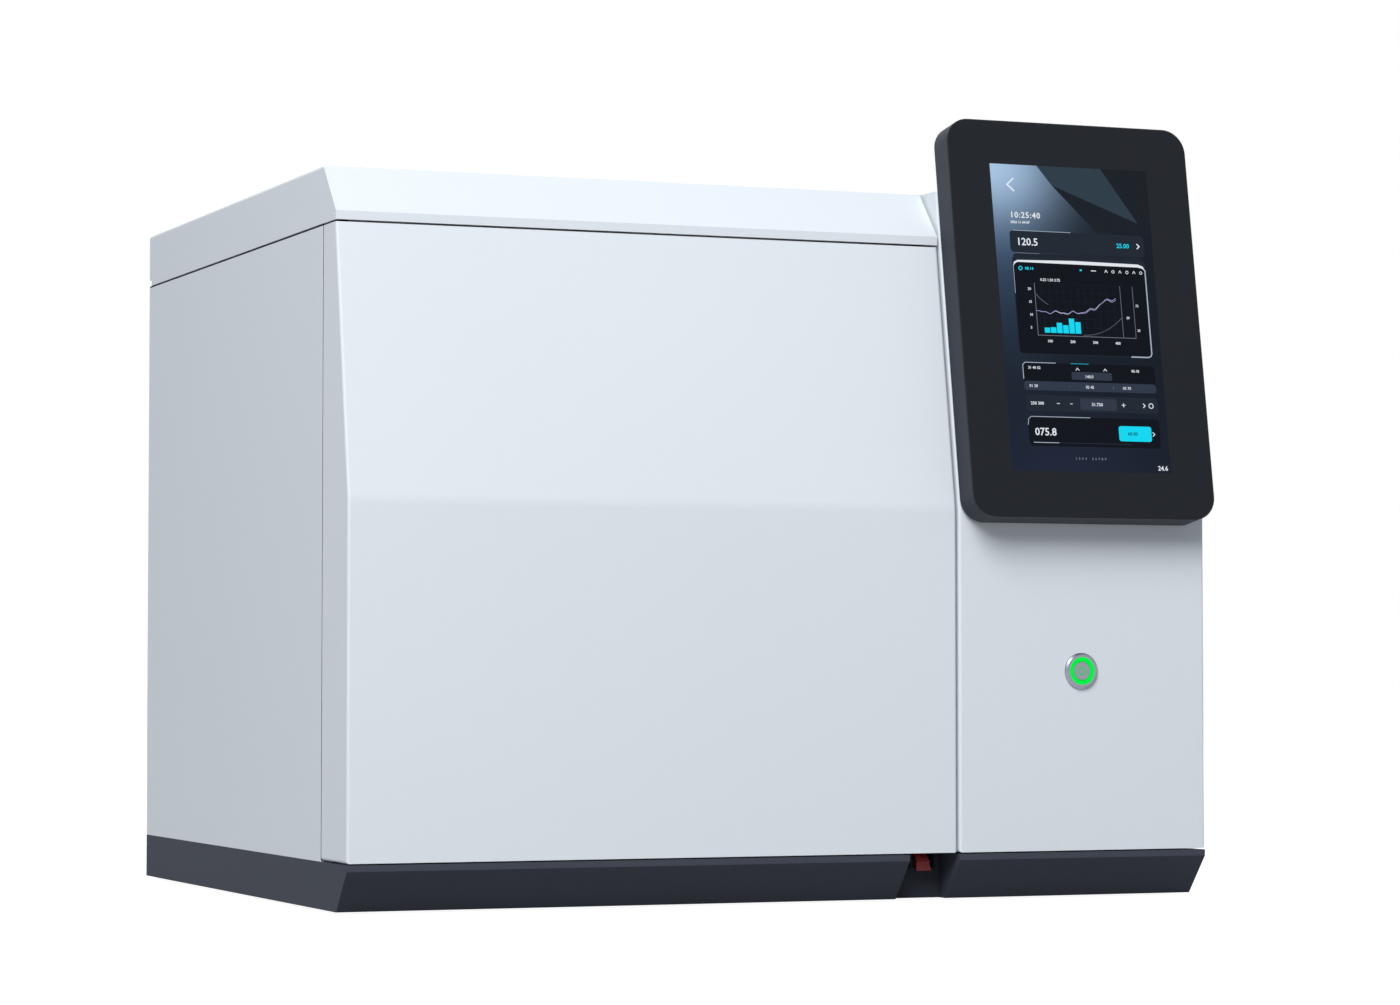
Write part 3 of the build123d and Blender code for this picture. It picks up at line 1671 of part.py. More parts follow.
def make_mains_inlet():
    """Appliance inlet with three pins below, and the bay of the rocker switch above."""
    y1 = cabinet_depth + mains_flange_thickness
    flange = RectangleRounded(mains_flange_width, mains_flange_height, mains_flange_lip)
    body = from_front(Pos(x_mains, z_socket) * flange, cabinet_depth, y1)
    shell = Rectangle(mains_flange_width - 2 * mains_flange_lip, mains_flange_height - 2 * mains_flange_lip)
    body += from_front(Pos(x_mains, z_socket) * shell, cabinet_depth - mains_body_depth, cabinet_depth)
    z = z_socket - mains_flange_height / 4
    mouth = Rectangle(socket_width, socket_height)
    mouth = chamfer(mouth.vertices().group_by(Axis.Y)[-1], socket_corner)
    body -= from_front(Pos(x_mains, z) * mouth, y1 - socket_depth, y1 + past)
    for side, rise in ((-1, -mains_pin_rise), (0, mains_pin_rise), (1, -mains_pin_rise)):
        pin = Rectangle(mains_pin_width, mains_pin_height)
        pin = Pos(x_mains + side * mains_pin_spread, z + rise) * pin
        body += from_front(pin, y1 - socket_depth, y1 - mains_pin_recess)
    y, z = rocker_pivot()
    bay_width = rocker_width + 2 * rocker_clearance
    bay = Pos(x_mains, z) * Rectangle(bay_width, 2 * rocker_bay_half)
    body -= from_front(bay, y - rocker_bay_depth, y1 + past)
    reach = rocker_width / 2 + rocker_pin_length + rocker_pin_gap
    hole = rocker_pin_radius + running_clearance
    return body - rod(hole, (x_mains - reach, y, z), (x_mains + reach, y, z))


def rocker_pivot():
    y = cabinet_depth + mains_flange_thickness - rocker_pivot_depth
    return y, z_socket + mains_flange_height / 4


def make_rocker():
    """Rocker with two faces that meet in a shallow valley, drawn tilted to off."""
    y, z = rocker_pivot()
    h = rocker_half_height
    side = polygon(
        [
            (rocker_tip, -h),
            (rocker_valley, 0),
            (rocker_tip, h),
            (0, h - rocker_edge),
            (-rocker_keel, rocker_keel),
            (-rocker_keel, -rocker_keel),
            (0, rocker_edge - h),
        ]
    )
    half = rocker_width / 2
    rocker = from_side(side, x_mains - half, x_mains + half)
    reach = half + rocker_pin_length
    rocker += rod(rocker_pin_radius, (x_mains - reach, 0, 0), (x_mains + reach, 0, 0))
    return Pos(0, y, z) * (Rot(-rocker_tilt, 0, 0) * rocker)


def make_screws():
    """Low-headed screws of the rear panels."""
    head = from_front(RegularPolygon(screw_head_radius, 8), 0, screw_head_height)
    head = chamfer(head.edges().group_by(Axis.Y)[-1], screw_chamfer)
    places = oven_screw_places() + column_screw_places()
    return group([Pos(x, cabinet_depth, z) * head for x, z in places])


pieces = {
    "plinth": make_plinth(),
    "feet": make_feet(),
    "chassis_floor": make_chassis_floor(),
    "oven_rails": make_oven_rails(),
    "side_panels": group([
        make_side_panel(0, sheet, z_door_top, z_door_top),
        make_side_panel(cabinet_width, cabinet_width - sheet, z_top, z_top - sheet),
    ]),
    "bulkhead": make_bulkhead(),
    "column_front_panel": make_column_front(),
    "column_top_panel": make_column_top(),
    "oven_front_frame": make_front_frame(),
    "oven_rear_panel": make_oven_rear(),
    "column_rear_panel": make_column_rear(),
    "oven_liner": make_liner(),
    "oven_insulation": make_insulation(),
    "oven_back_plate": make_back_plate(),
    "fan_baffle": make_baffle(),
    "heater_element": make_heater(),
    "temperature_probe": make_probe(),
    "column_cage": make_cage(),
    "capillary_column": make_capillary(),
    "fan_motor": make_fan_motor(),
    "fan_wheel": make_fan_wheel(),
    "fan_shaft": make_fan_shaft(),
    "vent_ducts": make_ducts(),
    "flap_shaft": make_flap_shaft(),
    "vent_flaps": make_flaps(),
    "flap_motor": make_stepper(),
    "top_deck": make_deck(),
    "inlets": make_inlets(),
    "septum_nuts": make_septum_nuts(),
    "detectors": make_detectors(),
    "gas_manifold": make_manifold(),
    "gas_fittings": make_fittings(),
    "gas_tubes": make_tubes(),
    "top_cover": make_top_cover(),
    "cover_hinge_leaves": make_cover_leaves(),
    "cover_hinge_brackets": make_cover_brackets(),
    "door_skin": make_door_skin(),
    "door_inner_pan": group([make_door_pan(), make_door_plug()]),
    "door_insulation": make_door_filling(),
    "door_gasket": make_gasket(),
    "door_hinge_blocks": make_hinge_blocks(),
    "door_hinge_pins": make_door_hinges(),
    "latch_bracket": make_latch_bracket(),
    "release_lever": make_lever(),
    "tablet_housing": make_tablet_housing(),
    "display_module": make_display(),
    "tablet_glass": make_glass(),
    "button_body": make_button_body(),
    "button_light_ring": make_light_ring(),
    "button_cap": make_button_cap(),
    "button_contact_block": make_contact_block(),
    "button_nut": make_button_nut(),
    "main_board": make_board(),
    "power_supply": make_supply(),
    "cooling_fan_frame": make_cooling_frame(),
    "cooling_fan_rotor": make_cooling_rotor(),
    "mains_inlet": make_mains_inlet(),
    "mains_rocker": make_rocker(),
    "rear_ports": group([make_network_port(), make_signal_ports()]),
    "panel_screws": make_screws(),
}

to_origin = Pos(-cabinet_width / 2, -(y_tablet_front + y_rear_reach) / 2, 0)
os.makedirs("parts", exist_ok=True)
for name, shape in pieces.items():
    export_step(to_origin * shape, f"parts/{name}.step")
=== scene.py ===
import math

import bpy
import numpy as np
from mathutils import Matrix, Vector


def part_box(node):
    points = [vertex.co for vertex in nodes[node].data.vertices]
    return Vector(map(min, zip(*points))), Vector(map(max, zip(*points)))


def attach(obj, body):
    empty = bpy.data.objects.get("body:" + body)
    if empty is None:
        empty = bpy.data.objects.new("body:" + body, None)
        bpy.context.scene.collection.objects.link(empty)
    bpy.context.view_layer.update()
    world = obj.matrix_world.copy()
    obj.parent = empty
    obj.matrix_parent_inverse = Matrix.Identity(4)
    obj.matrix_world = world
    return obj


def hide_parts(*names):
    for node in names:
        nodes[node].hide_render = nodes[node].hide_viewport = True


# Benchtop gas chromatograph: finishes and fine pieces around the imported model.
# Metres, +Z up, the oven door faces -Y and the electronics column stands at +X.

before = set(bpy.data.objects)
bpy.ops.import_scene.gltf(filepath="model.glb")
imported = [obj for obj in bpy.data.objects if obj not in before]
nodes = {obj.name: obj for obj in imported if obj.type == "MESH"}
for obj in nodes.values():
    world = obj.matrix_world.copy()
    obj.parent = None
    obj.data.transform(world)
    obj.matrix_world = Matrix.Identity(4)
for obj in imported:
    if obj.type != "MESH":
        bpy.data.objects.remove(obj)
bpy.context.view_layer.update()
millimetre = 0.001
print("frame loaded:", len(nodes), "nodes")


# colour and shader helpers

def seenColour(red, green, blue):
    # a colour as it is seen on a monitor, 0 to 255, turned into the linear values of a shader
    seen = np.array([red, green, blue]) / 255
    linear = np.where(seen > 0.04045, ((seen + 0.055) / 1.055) ** 2.4, seen / 12.92)
    return (*linear.tolist(), 1.0)


def newGroup(name, inputs, outputs):
    group = bpy.data.node_groups.new(name, "ShaderNodeTree")
    for label, kind, value in inputs:
        socket = group.interface.new_socket(label, in_out="INPUT", socket_type=kind)
        socket.default_value = value
    for label, kind in outputs:
        group.interface.new_socket(label, in_out="OUTPUT", socket_type=kind)
    return group, group.nodes.new("NodeGroupInput"), group.nodes.new("NodeGroupOutput")


def addNode(tree, kind, settings=None, **sockets):
    node = tree.nodes.new(kind)
    for label, value in (settings or {}).items():
        setattr(node, label, value)
    for label, value in sockets.items():
        socket = node.inputs[label.replace("_", " ")]
        if isinstance(value, bpy.types.NodeSocket):
            tree.links.new(value, socket)
        else:
            socket.default_value = value
    return node


def mathNode(tree, operation, first, second=0.5, clamp=False):
    node = tree.nodes.new("ShaderNodeMath")
    node.operation = operation
    node.use_clamp = clamp
    for socket, value in zip(node.inputs, (first, second)):
        if isinstance(value, bpy.types.NodeSocket):
            tree.links.new(value, socket)
        else:
            socket.default_value = value
    return node.outputs[0]


def mixColours(tree, factor, first, second, blend="MIX"):
    node = tree.nodes.new("ShaderNodeMix")
    node.data_type = "RGBA"
    node.blend_type = blend
    for socket, value in ((node.inputs[0], factor), (node.inputs[6], first), (node.inputs[7], second)):
        if isinstance(value, bpy.types.NodeSocket):
            tree.links.new(value, socket)
        else:
            socket.default_value = value
    return node.outputs[2]


def objectPoint(tree, stretch=(1, 1, 1)):
    place = addNode(tree, "ShaderNodeTexCoord")
    mapping = addNode(tree, "ShaderNodeMapping", Vector=place.outputs["Object"], Scale=stretch)
    return mapping.outputs[0]


def speckleGroup():
    # fine grain of a sprayed or moulded surface, with a slow drift of tone over the panel
    group, given, result = newGroup(
        "fineSpeckle",
        [("Colour", "NodeSocketColor", (0.8, 0.8, 0.8, 1)), ("Grain", "NodeSocketFloat", 900.0),
         ("Drift", "NodeSocketFloat", 0.03), ("Roughness", "NodeSocketFloat", 0.45),
         ("Spread", "NodeSocketFloat", 0.08)],
        [("Colour", "NodeSocketColor"), ("Roughness", "NodeSocketFloat"), ("Height", "NodeSocketFloat")])
    point = objectPoint(group)
    grain = addNode(group, "ShaderNodeTexNoise", Vector=point, Scale=given.outputs["Grain"], Detail=2.0)
    slow = addNode(group, "ShaderNodeTexNoise", Vector=point, Scale=5.0, Detail=1.0)
    grainTone = mathNode(group, "SUBTRACT", grain.outputs[0], 0.5)
    slowTone = mathNode(group, "SUBTRACT", slow.outputs[0], 0.5)
    tone = mathNode(group, "ADD", grainTone, slowTone)
    tone = mathNode(group, "MULTIPLY", tone, given.outputs["Drift"])
    tone = mathNode(group, "ADD", tone, 1.0)
    scaled = addNode(group, "ShaderNodeVectorMath", {"operation": "SCALE"})
    group.links.new(given.outputs["Colour"], scaled.inputs[0])
    group.links.new(tone, scaled.inputs["Scale"])
    rough = mathNode(group, "MULTIPLY", grainTone, given.outputs["Spread"])
    rough = mathNode(group, "ADD", rough, given.outputs["Roughness"], clamp=True)
    group.links.new(scaled.outputs[0], result.inputs["Colour"])
    group.links.new(rough, result.inputs["Roughness"])
    group.links.new(grain.outputs[0], result.inputs["Height"])
    return group


def brushGroup():
    # long fine scratches of rolled or brushed sheet, with cloudy handling marks
    group, given, result = newGroup(
        "brushedSheet",
        [("Colour", "NodeSocketColor", (0.6, 0.6, 0.6, 1)), ("Along", "NodeSocketVector", (30, 900, 900)),
         ("Roughness", "NodeSocketFloat", 0.3), ("Clouds", "NodeSocketFloat", 0.15)],
        [("Colour", "NodeSocketColor"), ("Roughness", "NodeSocketFloat"), ("Height", "NodeSocketFloat")])
    place = addNode(group, "ShaderNodeTexCoord")
    stretched = addNode(group, "ShaderNodeVectorMath", {"operation": "MULTIPLY"})
    group.links.new(place.outputs["Object"], stretched.inputs[0])
    group.links.new(given.outputs["Along"], stretched.inputs[1])
    hair = addNode(group, "ShaderNodeTexNoise", Vector=stretched.outputs[0], Scale=1.0, Detail=3.0)
    cloud = addNode(group, "ShaderNodeTexNoise", Vector=place.outputs["Object"], Scale=14.0, Detail=3.0)
    hairTone = mathNode(group, "SUBTRACT", hair.outputs[0], 0.5)
    cloudTone = mathNode(group, "SUBTRACT", cloud.outputs[0], 0.5)
    cloudTone = mathNode(group, "MULTIPLY", cloudTone, given.outputs["Clouds"])
    tone = mathNode(group, "MULTIPLY", hairTone, 0.18)
    tone = mathNode(group, "ADD", tone, cloudTone)
    rough = mathNode(group, "ADD", given.outputs["Roughness"], tone, clamp=True)
    tone = mathNode(group, "ADD", tone, 1.0)
    scaled = addNode(group, "ShaderNodeVectorMath", {"operation": "SCALE"})
    group.links.new(given.outputs["Colour"], scaled.inputs[0])
    group.links.new(tone, scaled.inputs["Scale"])
    group.links.new(scaled.outputs[0], result.inputs["Colour"])
    group.links.new(rough, result.inputs["Roughness"])
    group.links.new(hair.outputs[0], result.inputs["Height"])
    return group


def weaveGroup():
    # crossed threads, as of a braided seal or a fibre mat
    group, given, result = newGroup(
        "wovenThreads",
        [("Colour", "NodeSocketColor", (0.7, 0.7, 0.7, 1)), ("Threads", "NodeSocketFloat", 700.0)],
        [("Colour", "NodeSocketColor"), ("Height", "NodeSocketFloat")])
    place = addNode(group, "ShaderNodeTexCoord")
    turned = addNode(group, "ShaderNodeMapping", Vector=place.outputs["Object"], Rotation=(0.5, 0.78, 0.6))
    parts = addNode(group, "ShaderNodeSeparateXYZ", Vector=turned.outputs[0])
    waves = []
    for axis in range(2):
        phase = mathNode(group, "MULTIPLY", parts.outputs[axis], given.outputs["Threads"])
        waves.append(mathNode(group, "SINE", phase))
    crossed = mathNode(group, "MULTIPLY", waves[0], waves[1])
    crossed = mathNode(group, "MULTIPLY", crossed, 0.5)
    height = mathNode(group, "ADD", crossed, 0.5)
    fluff = addNode(group, "ShaderNodeTexNoise", Vector=place.outputs["Object"], Scale=160.0, Detail=4.0)
    height = mathNode(group, "ADD", height, fluff.outputs[0])
    tone = mathNode(group, "MULTIPLY", height, 0.28)
    tone = mathNode(group, "ADD", tone, 0.72)
    scaled = addNode(group, "ShaderNodeVectorMath", {"operation": "SCALE"})
    group.links.new(given.outputs["Colour"], scaled.inputs[0])
    group.links.new(tone, scaled.inputs["Scale"])
    group.links.new(scaled.outputs[0], result.inputs["Colour"])
    group.links.new(height, result.inputs["Height"])
    return group


fineSpeckle = speckleGroup()
brushedSheet = brushGroup()
wovenThreads = weaveGroup()


def newMaterial(name, metallic=0.0, specular=0.5, coat=0.0):
    material = bpy.data.materials.new(name)
    material.use_nodes = True
    tree = material.node_tree
    shader = tree.nodes["Principled BSDF"]
    shader.inputs["Metallic"].default_value = metallic
    shader.inputs["Specular IOR Level"].default_value = specular
    shader.inputs["Coat Weight"].default_value = coat
    return material, tree, shader


def placeGroup(tree, group, **values):
    return addNode(tree, "ShaderNodeGroup", {"node_tree": group}, **values)


def joinFinish(tree, shader, finish, strength, distance, roughness=None):
    tree.links.new(finish.outputs["Colour"], shader.inputs["Base Color"])
    if roughness is None:
        tree.links.new(finish.outputs["Roughness"], shader.inputs["Roughness"])
    else:
        shader.inputs["Roughness"].default_value = roughness
    bump = addNode(tree, "ShaderNodeBump", Height=finish.outputs["Height"], Strength=strength,
                   Distance=distance)
    tree.links.new(bump.outputs[0], shader.inputs["Normal"])


def speckledMaterial(name, colour, grain=900.0, drift=0.03, roughness=0.45, spread=0.08,
                     strength=0.2, distance=0.00005, specular=0.5):
    material, tree, shader = newMaterial(name, specular=specular)
    finish = placeGroup(tree, fineSpeckle, Colour=colour, Grain=grain, Drift=drift, Roughness=roughness,
                        Spread=spread)
    joinFinish(tree, shader, finish, strength, distance)
    return material


def metalMaterial(name, colour, along=(30, 900, 900), roughness=0.32, clouds=0.15, strength=0.1):
    material, tree, shader = newMaterial(name, metallic=1.0)
    finish = placeGroup(tree, brushedSheet, Colour=colour, Along=along, Roughness=roughness, Clouds=clouds)
    joinFinish(tree, shader, finish, strength, 0.00004)
    return material


def wovenMaterial(name, colour, threads=700.0, strength=0.5):
    material, tree, shader = newMaterial(name, specular=0.2)
    finish = placeGroup(tree, wovenThreads, Colour=colour, Threads=threads)
    joinFinish(tree, shader, finish, strength, 0.0006, roughness=0.92)
    return material


def litMaterial(name, colour, strength=1.0, base=(0.004, 0.005, 0.006, 1), roughness=0.3):
    material, tree, shader = newMaterial(name, specular=0.0)
    shader.inputs["Base Color"].default_value = base
    shader.inputs["Roughness"].default_value = roughness
    shader.inputs["Emission Color"].default_value = colour
    shader.inputs["Emission Strength"].default_value = strength
    return material


# finishes of the cabinet, its fittings and everything inside it

panelPaint = speckledMaterial("panelPaint", seenColour(224, 230, 235), grain=1100.0, drift=0.02,
                              roughness=0.5, spread=0.1, strength=0.12, specular=0.2)
plinthPaint = speckledMaterial("plinthPaint", seenColour(70, 74, 84), grain=900.0, drift=0.06,
                               roughness=0.65, strength=0.25, specular=0.04)
innerSteel = metalMaterial("innerSteel", (0.6, 0.6, 0.59, 1))
zincSteel = metalMaterial("zincSteel", (0.55, 0.57, 0.6, 1), along=(60, 60, 60),
                          roughness=0.38, clouds=0.35)
ovenSteel = metalMaterial("ovenSteel", (0.62, 0.6, 0.56, 1), along=(900, 900, 40),
                          roughness=0.3, clouds=0.2)
turnedSteel = metalMaterial("turnedSteel", (0.66, 0.66, 0.66, 1), along=(40, 40, 1600), roughness=0.24,
                            clouds=0.08)
buttonSteel = metalMaterial("buttonSteel", (0.27, 0.28, 0.335, 1), along=(900, 40, 900), roughness=0.3,
                            clouds=0.05)
milledAluminium = metalMaterial("milledAluminium", (0.74, 0.75, 0.77, 1), along=(500, 30, 500),
                                roughness=0.36)
turnedBrass = metalMaterial("turnedBrass", (0.72, 0.52, 0.22, 1), along=(900, 40, 900), roughness=0.26)
fibreJacket = wovenMaterial("fibreJacket", (0.78, 0.76, 0.70, 1), threads=420.0, strength=0.4)
braidedSeal = wovenMaterial("braidedSeal", (0.62, 0.58, 0.48, 1), threads=1500.0, strength=0.6)
footRubber = speckledMaterial("footRubber", (0.02, 0.02, 0.021, 1), roughness=0.75,
                              strength=0.4, specular=0.3)
blackPlastic = speckledMaterial("blackPlastic", (0.018, 0.018, 0.02, 1), grain=1500.0, roughness=0.42,
                                strength=0.2)
# dark finish of the latch bracket and hinge blocks; the stainless hinge pins take it too, as painted shade
# under the door
blackedSteelAndShade = speckledMaterial("blackedSteelAndShade", seenColour(26, 28, 32), roughness=0.6,
                                strength=0.15, specular=0.1)
redPlastic = speckledMaterial("redPlastic", seenColour(150, 30, 36), grain=1200.0,
                              roughness=0.38, strength=0.1)
tabletPlastic = speckledMaterial("tabletPlastic", seenColour(54, 58, 66), grain=1300.0, drift=0.05,
                                 roughness=0.55, strength=0.2, specular=0.15)
screenGlass = speckledMaterial("screenGlass", seenColour(29, 32, 37), grain=40.0, drift=0.02, roughness=0.3,
                               spread=0.02, strength=0.0, specular=0.1)
boardGreen = speckledMaterial("boardGreen", (0.015, 0.12, 0.05, 1), grain=300.0, drift=0.3, roughness=0.35)
coatedTube = speckledMaterial("coatedTube", (0.30, 0.13, 0.035, 1), grain=400.0, drift=0.2, roughness=0.28)
greenLight = litMaterial("greenLight", seenColour(0, 232, 58), base=(0.0, 0.1, 0.02, 1))
displayBack = speckledMaterial("displayBack", (0.04, 0.045, 0.05, 1), roughness=0.4)

finishes = {
    panelPaint: "side_panels column_front_panel column_top_panel oven_rear_panel "
                "column_rear_panel top_cover door_skin",
    plinthPaint: "plinth",
    # the hinge pins are stainless; their dark finish here is painted shade
    blackedSteelAndShade: "latch_bracket door_hinge_blocks door_hinge_pins",
    footRubber: "feet",
    zincSteel: "chassis_floor oven_rails bulkhead oven_back_plate vent_ducts vent_flaps cover_hinge_leaves "
               "cover_hinge_brackets power_supply panel_screws button_nut",
    innerSteel: "oven_front_frame top_deck rear_ports",
    turnedSteel: "fan_shaft flap_shaft inlets detectors gas_tubes temperature_probe",
    ovenSteel: "oven_liner fan_baffle heater_element column_cage fan_wheel door_inner_pan",
    fibreJacket: "oven_insulation door_insulation",
    braidedSeal: "door_gasket",
    coatedTube: "capillary_column",
    blackPlastic: "fan_motor flap_motor button_contact_block cooling_fan_frame cooling_fan_rotor "
                  "mains_inlet mains_rocker",
    milledAluminium: "septum_nuts gas_manifold",
    turnedBrass: "gas_fittings",
    redPlastic: "release_lever",
    tabletPlastic: "tablet_housing",
    displayBack: "display_module",
    screenGlass: "tablet_glass",
    buttonSteel: "button_body button_cap",
    greenLight: "button_light_ring",
    boardGreen: "main_board",
}
for finish, names in finishes.items():
    for name in names.split():
        node = nodes[name]
        node.data.materials.clear()
        node.data.materials.append(finish)
unfinished = sorted(set(nodes) - {name for names in finishes.values() for name in names.split()})
print("finishes given, nodes left without one:", unfinished)


# pieces from arrays

def newPiece(name, points, faces, material, body, smooth=False):
    mesh = bpy.data.meshes.new(name)
    mesh.from_pydata(points.tolist(), [], faces)
    mesh.polygons.foreach_set("use_smooth", [smooth] * len(mesh.polygons))
    mesh.materials.append(material)
    piece = bpy.data.objects.new(name, mesh)
    bpy.context.scene.collection.objects.link(piece)
    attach(piece, body)
    return piece


# the touch screen's picture, drawn in millimetres from the lit area's lower left corner

screen = {
    "lean": math.radians(9.15),       # how far the tablet leans back
    "border": 5 * millimetre,         # display module beyond the lit area
    "moduleThickness": 3 * millimetre,
    "glassThickness": 2 * millimetre,
    "layerStep": 0.07 * millimetre,   # each layer of the picture stands this much above the last
    "sunk": 0.05 * millimetre,        # how far every layer reaches into the glass
    "groundLayer": 0.5,               # the background stands half a layer above the glass
}


def screenPlace():
    low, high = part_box("display_module")
    sine, cosine = math.sin(screen["lean"]), math.cos(screen["lean"])
    up = np.array([0.0, sine, cosine])
    out = np.array([0.0, -cosine, sine])
    corner = np.array([low.x, low.y, low.z + screen["moduleThickness"] * sine])
    corner = corner + screen["border"] * (np.array([1.0, 0, 0]) + up) + screen["glassThickness"] * out
    width = (high.x - low.x - 2 * screen["border"]) / millimetre
    return corner, up, out, width


screenCorner, screenUp, screenOut, screenWidth = screenPlace()
screenHeight = 222.4
inks = {}


def onScreen(flat, layer):
    # a point goes right along x, up along the leaning glass and out by its layer
    flat = np.asarray(flat, float) * millimetre
    out = (layer * screen["layerStep"]) * screenOut
    return screenCorner + flat[:, :1] * np.array([1.0, 0, 0]) + flat[:, 1:] * screenUp + out


def drawShape(ink, flat, layer=2):
    inks.setdefault(ink, []).append((np.asarray(flat, float), layer))


def roundedBox(left, right, low, high, radius=2.0, steps=6):
    # quarter arcs about the four inner corners, taken in turn
    centres = np.array([(right - radius, high - radius), (left + radius, high - radius),
                        (left + radius, low + radius), (right - radius, low + radius)])
    turn = np.radians(np.arange(4)[:, None] * 90 + np.linspace(0, 90, steps)[None, :])
    arcs = centres[:, None, :] + radius * np.stack([np.cos(turn), np.sin(turn)], axis=-1)
    return arcs.reshape(-1, 2)


def drawBox(ink, left, right, low, high, radius=0.0, layer=2):
    if radius:
        drawShape(ink, roundedBox(left, right, low, high, radius), layer)
    else:
        drawShape(ink, [(left, low), (right, low), (right, high), (left, high)], layer)


def drawStroke(ink, points, width=0.4, layer=3):
    # the path moved half a width to each side along the mean normal of its runs
    points = np.asarray(points, float)
    runs = np.diff(points, axis=0)
    runs = runs / np.linalg.norm(runs, axis=1, keepdims=True)
    tangent = np.vstack([runs[:1], runs[:-1] + runs[1:], runs[-1:]])
    tangent = tangent / np.linalg.norm(tangent, axis=1, keepdims=True)
    side = np.stack([-tangent[:, 1], tangent[:, 0]], axis=1)
    cosine = np.ones(len(points))
    cosine[1:-1] = np.abs((tangent[1:-1] * runs[:-1]).sum(axis=1))
    side = side * (width / 2 / np.maximum(cosine, 0.5))[:, None]
    drawShape(ink, np.vstack([points - side, (points + side)[::-1]]), layer)


def drawRing(ink, centre, radius, width, start=0.0, stop=360.0, layer=3, steps=24):
    turn = np.radians(np.linspace(start, stop, steps + 1))
    circle = np.stack([np.cos(turn), np.sin(turn)], axis=1)
    outer = np.asarray(centre) + (radius + width / 2) * circle
    inner = np.asarray(centre) + (radius - width / 2) * circle
    for first in range(0, steps, steps // 2):
        last = first + steps // 2 + 1
        drawShape(ink, np.vstack([outer[first:last], inner[first:last][::-1]]), layer)


digitFace = {"tall": 0.73, "thicken": 0.012}


def drawDigits(ink, words, left, low, height, layer=4, spread=1.0):
    # digits from the built-in face, flattened to outlines and scaled to the height asked
    curve = bpy.data.curves.new("digits", "FONT")
    curve.body = words
    curve.space_character = spread
    curve.offset = digitFace["thicken"]
    holder = bpy.data.objects.new("digits", curve)
    bpy.context.scene.collection.objects.link(holder)
    curve.resolution_u = 2
    mesh = bpy.data.meshes.new_from_object(holder.evaluated_get(bpy.context.evaluated_depsgraph_get()))
    points = np.zeros(len(mesh.vertices) * 3)
    mesh.vertices.foreach_get("co", points)
    points = points.reshape(-1, 3)[:, :2]
    faces = [list(face.vertices) for face in mesh.polygons]
    bpy.data.objects.remove(holder)
    bpy.data.curves.remove(curve)
    bpy.data.meshes.remove(mesh)
    points = points * (height / digitFace["tall"]) + np.array([left, low])
    for face in faces:
        drawShape(ink, points[face], layer)


def drawChevron(ink, tip, size, width, point=-1, layer=4):
    drawStroke(ink, [(tip[0] - point * size * 0.55, tip[1] + size / 2), tip,
                     (tip[0] - point * size * 0.55, tip[1] - size / 2)], width, layer)


def drawHeader():
    drawChevron("white", (12.5, 207.5), 9.5, 1.1)
    drawDigits("white", "10:25:40", 13.0, 183.4, 4.4, spread=1.15)
    drawDigits("white", "2026 11 04 07", 13.0, 179.2, 1.9)
    drawBox("panel", 11.5, 118.5, 158.0, 174.0, 3.0)
    drawStroke("rim", [(14.0, 174.0), (60.0, 174.0)], 0.35)
    drawDigits("white", "120.5", 16.5, 163.3, 5.6)
    drawDigits("cyan", "25.00", 96.0, 164.3, 3.4)
    drawChevron("white", (114.5, 166.0), 3.6, 0.8, point=1)


chart = {
    "left": 28.0, "right": 106.0, "low": 98.0, "high": 136.0,
    "barHeights": (3.6, 4.0, 7.4, 5.8, 10.8, 8.4),
    "barWidth": 4.2, "barPitch": 4.9, "firstBar": 33.5,
}


def drawWindow():
    drawBox("panel", 12.0, 118.0, 84.0, 155.0, 2.5, layer=2)
    drawBox("night", 12.6, 117.0, 84.6, 151.6, 2.2, layer=3)
    drawShape("white", [(12.4, 147.6), (13.2, 150.8), (16.0, 152.3), (60.0, 153.2), (112.0, 152.6),
                        (116.0, 151.2), (117.8, 147.6), (115.6, 149.6), (112.0, 150.4), (60.0, 150.7),
                        (16.0, 150.9), (13.8, 149.6)], 4)
    drawBox("tab", 13.0, 116.0, 150.0, 157.6, 3.0, layer=1)
    drawStroke("dim", [(14.6, 157.5), (34.0, 157.5)], 0.3, layer=2)
    drawStroke("rim", [(117.6, 148.5), (117.6, 87.0), (116.7, 85.1), (114.6, 84.3), (101.0, 84.3)],
               0.85, layer=4)
    drawStroke("rim", [(12.6, 148.5), (12.6, 128.0)], 0.3, layer=4)
    drawRing("cyan", (18.0, 146.4), 1.3, 0.6, layer=5)
    drawDigits("cyan", "08.14", 21.5, 145.4, 2.2, layer=5)
    drawBox("cyan", 65.0, 66.6, 146.0, 147.2, layer=5)
    drawBox("white", 74.0, 78.0, 146.2, 146.8, layer=5)
    for place in range(6):
        middle = 86.0 + 5.6 * place
        if place % 2:
            drawRing("white", (middle, 146.4), 1.0, 0.4, layer=5, steps=12)
        else:
            drawStroke("white", [(middle - 1.1, 145.6), (middle, 147.4), (middle + 1.1, 145.6)],
                       0.45, layer=5)
    drawDigits("white", "0.25 1.50 2.75", 33.0, 137.6, 2.0, layer=5)


